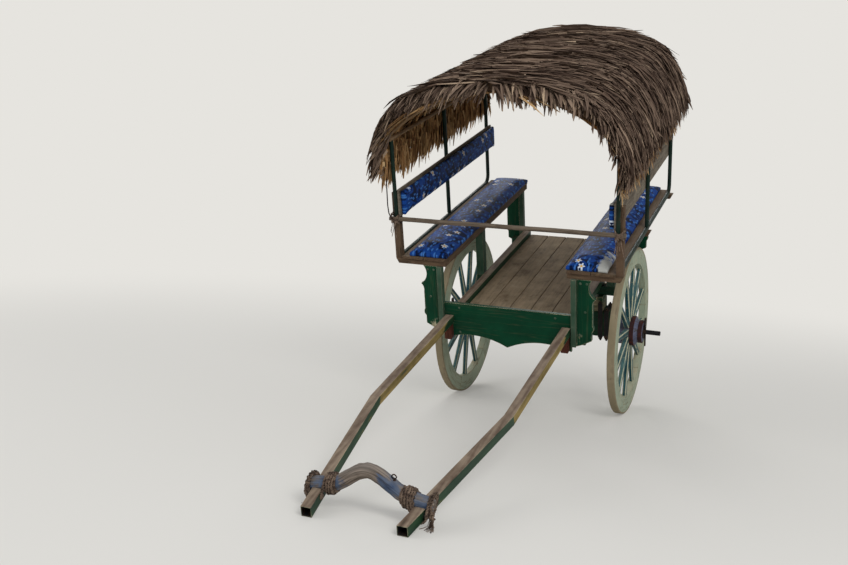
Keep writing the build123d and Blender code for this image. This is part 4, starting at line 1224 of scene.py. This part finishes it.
for vert in bed.verts:
    vert.co += noise.noise_vector(vert.co * 9) * 0.006
# Packed leaf under the courses, fibrous, its colours painted dark: painted shade from the courses above
# it
bed_leaf_painted_shade = worn_surface(
    "packed_leaf_painted_shade", ("#33261d", "#7a6046"), ("#46362a", "#69523d"), 0.4, 0.0, (0.95, 0.9), 1.4)
make_piece("thatch_bed", bed, [bed_leaf_painted_shade], ["thatch"], follow=along_x, flat=False)

# Ragged ends over the front and back of the roof, in three layers, with longer tips in clumps
for end_name, facing in (("front", -1), ("rear", 1)):
    bunches = []
    for outwards in (1, -1):
        for depth_low, depth_high in ((0.0, 0.02), (0.015, 0.04), (0.03, 0.06)):
            bunch = new_bunch()
            run = 0.0
            while run < hem_run:
                run += chance.uniform(0.003, 0.009)
                point, down, out = roof_point(run)
                root = point - out * chance.uniform(depth_low, depth_high)
                root.y = facing * (thatch_end - chance.uniform(0.02, 0.10))
                clump = 0.5 + noise.noise(Vector((run * 9, outwards * 3, facing)))
                clump_reach = 0.09 if run < 0.84 else 0.036
                hang = chance.uniform(0.03, 0.07) + clump_reach * max(0.0, clump)
                tip = root + Vector((
                    down.x * hang * chance.uniform(0.2, 0.9), facing * chance.uniform(0.05, 0.13),
                    -hang * chance.uniform(0.5, 1.0)))
                tip.y += chance.gauss(0, 0.015)
                add_leaf(bunch, outwards, root, tip, Vector((down.x * 0.3, facing, down.z * 0.3)),
                         Vector((out.x, chance.gauss(0, 0.3), out.z)),
                         chance.uniform(0.010, 0.022), leaf_shade(0.5))
            bunches.append(bunch)
    finish_leaves(f"{end_name}_thatch_fringe", bunches, weathered_leaf)

# What shows from below: leaflets between the laths, and the skirt's inner face past the eave rail
bunches = []
under_end = thatch_end - 0.02
skirt_inside = 0.70
for outwards in (1, -1):
    for row in range(9):
        bunch = new_bunch()
        place_y = -under_end
        while place_y < under_end:
            place_y += chance.uniform(0.008, 0.02)
            here = radians(1 + 4.5 * row) + chance.uniform(-0.04, 0.04)
            root = Vector((inner_radius * sin(here), place_y, arch_centre + inner_radius * cos(here)))
            there = here + chance.uniform(0.12, 0.26)
            deep = inner_radius - chance.uniform(0.0, 0.022)
            tip = Vector((
                deep * sin(there), place_y + chance.gauss(0, 0.07), arch_centre + deep * cos(there)))
            tip.x = min(tip.x, skirt_inside)
            add_leaf(bunch, outwards, root, tip, Vector((cos(here), 0, -sin(here))),
                     Vector((-sin(here), chance.gauss(0, 0.3), -cos(here))),
                     chance.uniform(0.014, 0.028), leaf_shade(0.68))
        bunches.append(bunch)
    for row in range(4):
        bunch = new_bunch()
        place_y = -under_end
        while place_y < under_end:
            place_y += chance.uniform(0.006, 0.014)
            root = Vector((
                0.688 + chance.uniform(0.0, 0.01), place_y,
                1.985 - 0.04 * row + chance.uniform(-0.02, 0.02)))
            hang = chance.uniform(0.08, 0.17)
            tip = root + Vector((chance.uniform(0.0, 0.03), chance.gauss(0, 0.035), -hang))
            add_leaf(bunch, outwards, root, tip, Vector((0, 0, -1)),
                     Vector((-1, chance.gauss(0, 0.4), 0.1)), chance.uniform(0.012, 0.026),
                     leaf_shade(0.55))
        bunches.append(bunch)
finish_leaves("thatch_underside", bunches, sheltered_leaf)


# Rear step
# One plank on two flat iron hangers, bolted to the last cross bearer.
make_piece("step_plank", worn_copy("rear_step", 0.003), [bare_plank],
           ["rear_step"], follow=along_x)
make_piece("flat_step_hangers", worn_copy("step_hangers", 0.0012, 1), [strap_iron],
           ["step_hangers"])


# Yoke
# A grown pole, bent up in the middle, notched over both shafts. Grey weathered wood with the
# remains of blue paint, and a ringed eye bolt on its crown.

# Weathered yoke wood, rough and bare on its crown, under the last of a blue paint
yoke_paint = worn_surface(
    "faded_blue_yoke_paint", ("#261e1a", "#95877a"), ("#3b4a63", "#65758a"), 0.42, 0.0, (0.9, 0.75), 0.9,
    dust="#7d7771", rubbed=[((-0.05, -2.72, 1.03), 0.17, 0.5), ((0.30, -2.72, 0.90), 0.06, 0.3)])
shaft_crossing = 0.2518
shaft_turn = 7.862
yoke_y = -2.72
yoke_end = 0.300
# Its line from the crown out to one end: distance from the middle, and height
yoke_half = [
    (0.0, 1.026), (0.035, 1.017), (0.07, 0.995), (0.12, 0.958), (0.155, 0.932), (0.20, 0.921),
    (yoke_end, 0.903)]
yoke_bends = [(-x, z) for x, z in yoke_half[:0:-1]] + yoke_half
yoke_line = []
for (x0, z0), (x1, z1) in zip(yoke_bends, yoke_bends[1:]):
    yoke_line += between((x0, yoke_y, z0), (x1, yoke_y, z1), 0.009)[:-1]
yoke_line.append(Vector((yoke_end, yoke_y, 0.903)))
for _ in range(6):
    yoke_line[1:-1] = [
        (before + place * 2 + after) / 4
        for before, place, after in zip(yoke_line, yoke_line[1:], yoke_line[2:])]
# Its ends are rounded off
yoke_radii = [min(0.034, 0.026 + 0.6 * (yoke_end - abs(place.x))) for place in yoke_line]
yoke = pole(yoke_line, yoke_radii, 24, 0.0012, 6.0)
bmesh.ops.recalc_face_normals(yoke, faces=yoke.faces)
yoke.normal_update()
for vert in yoke.verts:
    # The crown is the roughest
    rough = max(0.3, 1 - abs(vert.co.x) / 0.17)
    lumps = 0.0040 * noise.noise(vert.co * 36) + 0.0018 * noise.noise(vert.co * 105)
    vert.co += vert.normal * rough * lumps
stock_mesh = bpy.data.meshes.new("yoke_stock")
yoke.to_mesh(stock_mesh)
yoke.free()
stock = bpy.data.objects.new("yoke_stock", stock_mesh)
bpy.context.scene.collection.objects.link(stock)
# Each notch sits down over its shaft
for outwards in (1, -1):
    notch_shape = bmesh.new()
    bmesh.ops.create_cube(notch_shape, size=1, matrix=Matrix.LocRotScale(
        Vector((outwards * shaft_crossing, yoke_y, 0.8675)),
        Matrix.Rotation(radians(-shaft_turn * outwards), 3, "Z"), Vector((0.0504, 0.16, 0.08))))
    notch_mesh = bpy.data.meshes.new("notch")
    notch_shape.to_mesh(notch_mesh)
    notch_shape.free()
    notch = bpy.data.objects.new("notch", notch_mesh)
    bpy.context.scene.collection.objects.link(notch)
    cut = stock.modifiers.new("notch", "BOOLEAN")
    cut.operation = "DIFFERENCE"
    cut.object = notch
    bpy.context.view_layer.update()
    evaluated = stock.evaluated_get(bpy.context.evaluated_depsgraph_get())
    cut_mesh = bpy.data.meshes.new_from_object(evaluated)
    stock.modifiers.clear()
    stock.data = cut_mesh
    bpy.data.objects.remove(notch)
yoke = bmesh.new()
yoke.from_mesh(stock.data)
bpy.data.objects.remove(stock)
make_piece("grown_yoke", yoke, [yoke_paint], ["yoke"], flat=False)


# Eye bolt
# Thick iron wire bent into a ring, its end wrapped once round its own shank, which is driven into
# the yoke. Black and worn smooth.
eye_place = Vector((0.12, yoke_y, 1.0163))
eye = bmesh.new()
bmesh.ops.create_circle(eye, cap_ends=False, segments=10, radius=0.003,
                        matrix=Matrix.Translation(eye_place + Vector((0.0105, 0, 0))))
bmesh.ops.spin(eye, geom=eye.verts[:] + eye.edges[:], cent=eye_place, axis=(0, 1, 0),
               angle=2 * pi, steps=24, use_merge=True, use_duplicate=False)
wrap = bmesh.ops.create_circle(
    eye, cap_ends=False, segments=10, radius=0.0028,
    matrix=Matrix.Translation(eye_place + Vector((0.0056, 0, -0.016)))
    @ Matrix.Rotation(pi / 2, 4, "X"))["verts"]
wrap_edges = [edge for edge in eye.edges if edge.verts[0] in wrap]
bmesh.ops.spin(eye, geom=wrap + wrap_edges, cent=eye_place, axis=(0, 0, 1),
               angle=2 * pi, steps=20, use_merge=True, use_duplicate=False)
bmesh.ops.create_cone(eye, cap_ends=True, segments=10, radius1=0.003, radius2=0.003, depth=0.053,
                      matrix=Matrix.Translation(eye_place - Vector((0, 0, 0.0365))))
make_piece("yoke_eye", eye, [forged_iron], ["yoke_eye_bolt"], flat=False)


# Rope lashings on the yoke, and the ties of the handrail
# Three-strand coir rope, wound many times round yoke and shaft and finished in a knot with a
# frayed end. Thinner dark cord ties the handrail to its posts.

# Coir rope: coarse brown fibre, grey where it has weathered
coir = new_material("coir_rope_fibre")
coir_place = add_node(coir, "TexCoord").outputs["Object"]
coir_patch = add_node(coir, "TexNoise", links={
    "Vector": coir_place, "Scale": 38.0, "Detail": 5.0, "Roughness": 0.7})
coir_fibre = add_node(coir, "TexNoise", links={"Vector": coir_place, "Scale": 420.0, "Detail": 3.0})
coir_tone = add_node(coir, "MapRange", links={
    "Value": coir_patch, "From Min": 0.38, "From Max": 0.62})
coir_colour = add_node(coir, "Mix", {"data_type": "RGBA"}, {
    0: coir_tone, 6: linear("#35251d"), 7: linear("#836f5e")})
coir_relief = add_node(coir, "Bump", links={
    "Height": coir_fibre, "Strength": 0.8, "Distance": 0.0012})
coir_shader = add_node(coir, "BsdfPrincipled", links={
    "Base Color": coir_colour, "Roughness": 0.95, "Normal": coir_relief})
add_node(coir, "OutputMaterial", links={"Surface": coir_shader})

# The rope's section: three strands, seen end on
section_curve = bpy.data.curves.new("strands", "CURVE")
section_curve.dimensions = "2D"
section_line = section_curve.splines.new("POLY")
section_line.points.add(11)
for number, point in enumerate(section_line.points):
    turn = 2 * pi * number / 12
    reach = 0.82 + 0.18 * cos(3 * turn)
    point.co = (reach * cos(turn), reach * sin(turn), 0, 1)
section_line.use_cyclic_u = True
section_object = bpy.data.objects.new("strands", section_curve)
bpy.context.scene.collection.objects.link(section_object)


def rope_shape(points, radius, lay=0.045):
    """A three-strand rope along a smooth line through level points, as a bmesh."""
    section_object.scale = (radius, radius, radius)
    curve = bpy.data.curves.new("rope", "CURVE")
    curve.dimensions = "3D"
    line = curve.splines.new("NURBS")
    line.points.add(len(points) - 1)
    run = 0.0
    for number, (knot, place) in enumerate(zip(line.points, points)):
        run += (Vector(place) - Vector(points[max(number - 1, 0)])).length
        knot.co = (*place, 1)
        knot.tilt = 2 * pi * run / lay
    line.order_u = 3
    line.use_endpoint_u = True
    curve.resolution_u = 3
    curve.bevel_mode = "OBJECT"
    curve.bevel_object = section_object
    curve.use_fill_caps = True
    holder = bpy.data.objects.new("rope", curve)
    bpy.context.scene.collection.objects.link(holder)
    bpy.context.view_layer.update()
    evaluated = holder.evaluated_get(bpy.context.evaluated_depsgraph_get())
    mesh = bpy.data.meshes.new_from_object(evaluated)
    shape = bmesh.new()
    shape.from_mesh(mesh)
    bpy.data.objects.remove(holder)
    bpy.data.curves.remove(curve)
    bpy.data.meshes.remove(mesh)
    bmesh.ops.remove_doubles(shape, verts=shape.verts, dist=1e-6)
    return shape


rope_radius = 0.0060
rope_pitch = 0.0115
# Each winding round the yoke: where it starts and ends, and how far it lies above the first layer
winding_table = [(0.150, 0.214, 0.0), (0.205, 0.166, 0.0095), (0.281, 0.300, 0.0)]
winding_radius = 0.0405
points_a_turn = 10
lashing_parts = []


def ground_height(y):
    """How high the ground lies on the level cart at that y, as the cart leans on its shafts."""
    return axle_height - (axle_height + y * sin(lean)) / cos(lean)


for outwards in (1, -1):
    # Turns round the yoke on the inner side of the shaft, in two layers, and a few outside it
    for first, last, lift in winding_table:
        steps = points_a_turn * max(2, round(abs(last - first) / rope_pitch))
        turns = []
        for step in range(steps + 1):
            x = first + (last - first) * step / steps
            # The yoke's middle drops towards its ends
            centre = 0.9285 - 0.1655 * (x - 0.155) + (0.004 if x < 0.16 else 0)
            wobble = chance.uniform(-0.0007, 0.0007)
            reach = winding_radius + lift + wobble
            turn = 2 * pi * step / points_a_turn
            turns.append(Vector((
                outwards * x + wobble, yoke_y + reach * sin(turn), centre + reach * cos(turn))))
        lashing_parts.append(rope_shape(turns, rope_radius))
    # Square turns over the yoke on both sides of the shaft and under the shaft before and behind
    wraps = []
    for number in range(3):
        grow = 0.0112 * number
        near_tube, far_tube = shaft_crossing - 0.034, shaft_crossing + 0.034
        near, far = near_tube - grow, far_tube + grow * 0.4
        front, back = yoke_y - 0.044 - grow, yoke_y + 0.044 + grow
        top, shoulder, side, low, under = 0.957 + 0.4 * grow, 0.930, 0.895, 0.866, 0.846
        for x, y, z in (
                (near, yoke_y, top), (near, front + 0.004, shoulder), (near_tube, front, side),
                (near_tube, front, low), (shaft_crossing, front, under), (far_tube, front, low),
                (far_tube, front, side), (far, front + 0.004, shoulder), (far, yoke_y, top),
                (far, back - 0.004, shoulder), (far_tube, back, side), (far_tube, back, low),
                (shaft_crossing, back, under), (near_tube, back, low), (near_tube, back, side),
                (near, back - 0.004, shoulder)):
            wraps.append(Vector((outwards * x, y, z)))
    lashing_parts.append(rope_shape(wraps, rope_radius))
    # The knot below the outer turns; its frayed end hangs, and spreads where it meets the ground
    knot_centre = Vector((outwards * 0.297, yoke_y - 0.034, 0.872))
    knot = []
    for step in range(28):
        turn = 2 * pi * step / 9
        knot.append(knot_centre + Vector((
            0.011 * cos(turn), 0.011 * sin(turn * 1.35),
            0.020 * sin(turn * 0.8) + 0.004 * cos(turn * 2.1))))
    lashing_parts.append(rope_shape(knot, rope_radius))
    for number in range(26):
        root = knot_centre + Vector((
            chance.uniform(-0.010, 0.010), chance.uniform(-0.009, 0.009), -0.014))
        spread = Vector((chance.uniform(-0.012, 0.012), chance.uniform(-0.020, 0.004), 0))
        bend = root + spread * 0.7
        bend.z = ground_height(bend.y) + chance.uniform(0.003, 0.012)
        tip = bend + spread * chance.uniform(0.6, 2.0) + Vector((
            outwards * chance.uniform(-0.004, 0.006), -0.006, 0))
        tip.z = ground_height(tip.y) + 0.0032
        lashing_parts.append(rope_shape(
            [root, root.lerp(bend, 0.5) + spread * 0.25, bend, tip], 0.0019, 0.02))
make_piece("coir_yoke_lashings", joined(lashing_parts), [coir], ["lashings"], flat=False)

# Dark cord crossed over rail and post on both slants, with frayed tails
cord_radius = 0.0034
tie_turns = 3
points_a_turn = 16
tie_parts = []
for outwards in (1, -1):
    for slant in (1, -1):
        turns = []
        for step in range(tie_turns * points_a_turn + 1):
            turn = 2 * pi * step / points_a_turn
            square_x = abs(cos(turn)) ** 0.5 * (1 if cos(turn) > 0 else -1)
            square_y = abs(sin(turn)) ** 0.5 * (1 if sin(turn) > 0 else -1)
            climb = 2 * cord_radius * (step / points_a_turn - tie_turns / 2)
            turns.append(Vector((
                outwards * (0.675 + 0.0255 * square_x),
                -0.819 + (0.0425 + 0.002 * slant) * square_y,
                handrail_height + slant * 0.024 * cos(turn) + climb)))
        tie_parts.append(rope_shape(turns, cord_radius, 0.03))
    for number in range(9):
        root = Vector((
            outwards * (0.672 + chance.uniform(-0.02, 0.02)),
            -0.864 + chance.uniform(-0.002, 0.002), 1.496))
        drop = chance.uniform(0.03, 0.095)
        drift = Vector((chance.uniform(-0.025, 0.025), chance.uniform(-0.01, 0.0) - 0.29 * drop, 0))
        middle = root + drift * 0.5 - Vector((0, 0, drop * 0.5))
        tie_parts.append(rope_shape(
            [root, middle, root + drift - Vector((0, 0, drop))], 0.0022, 0.02))
make_piece("handrail_ties", joined(tie_parts), [coir], flat=False)
bpy.data.objects.remove(section_object)
bpy.data.curves.remove(section_curve)
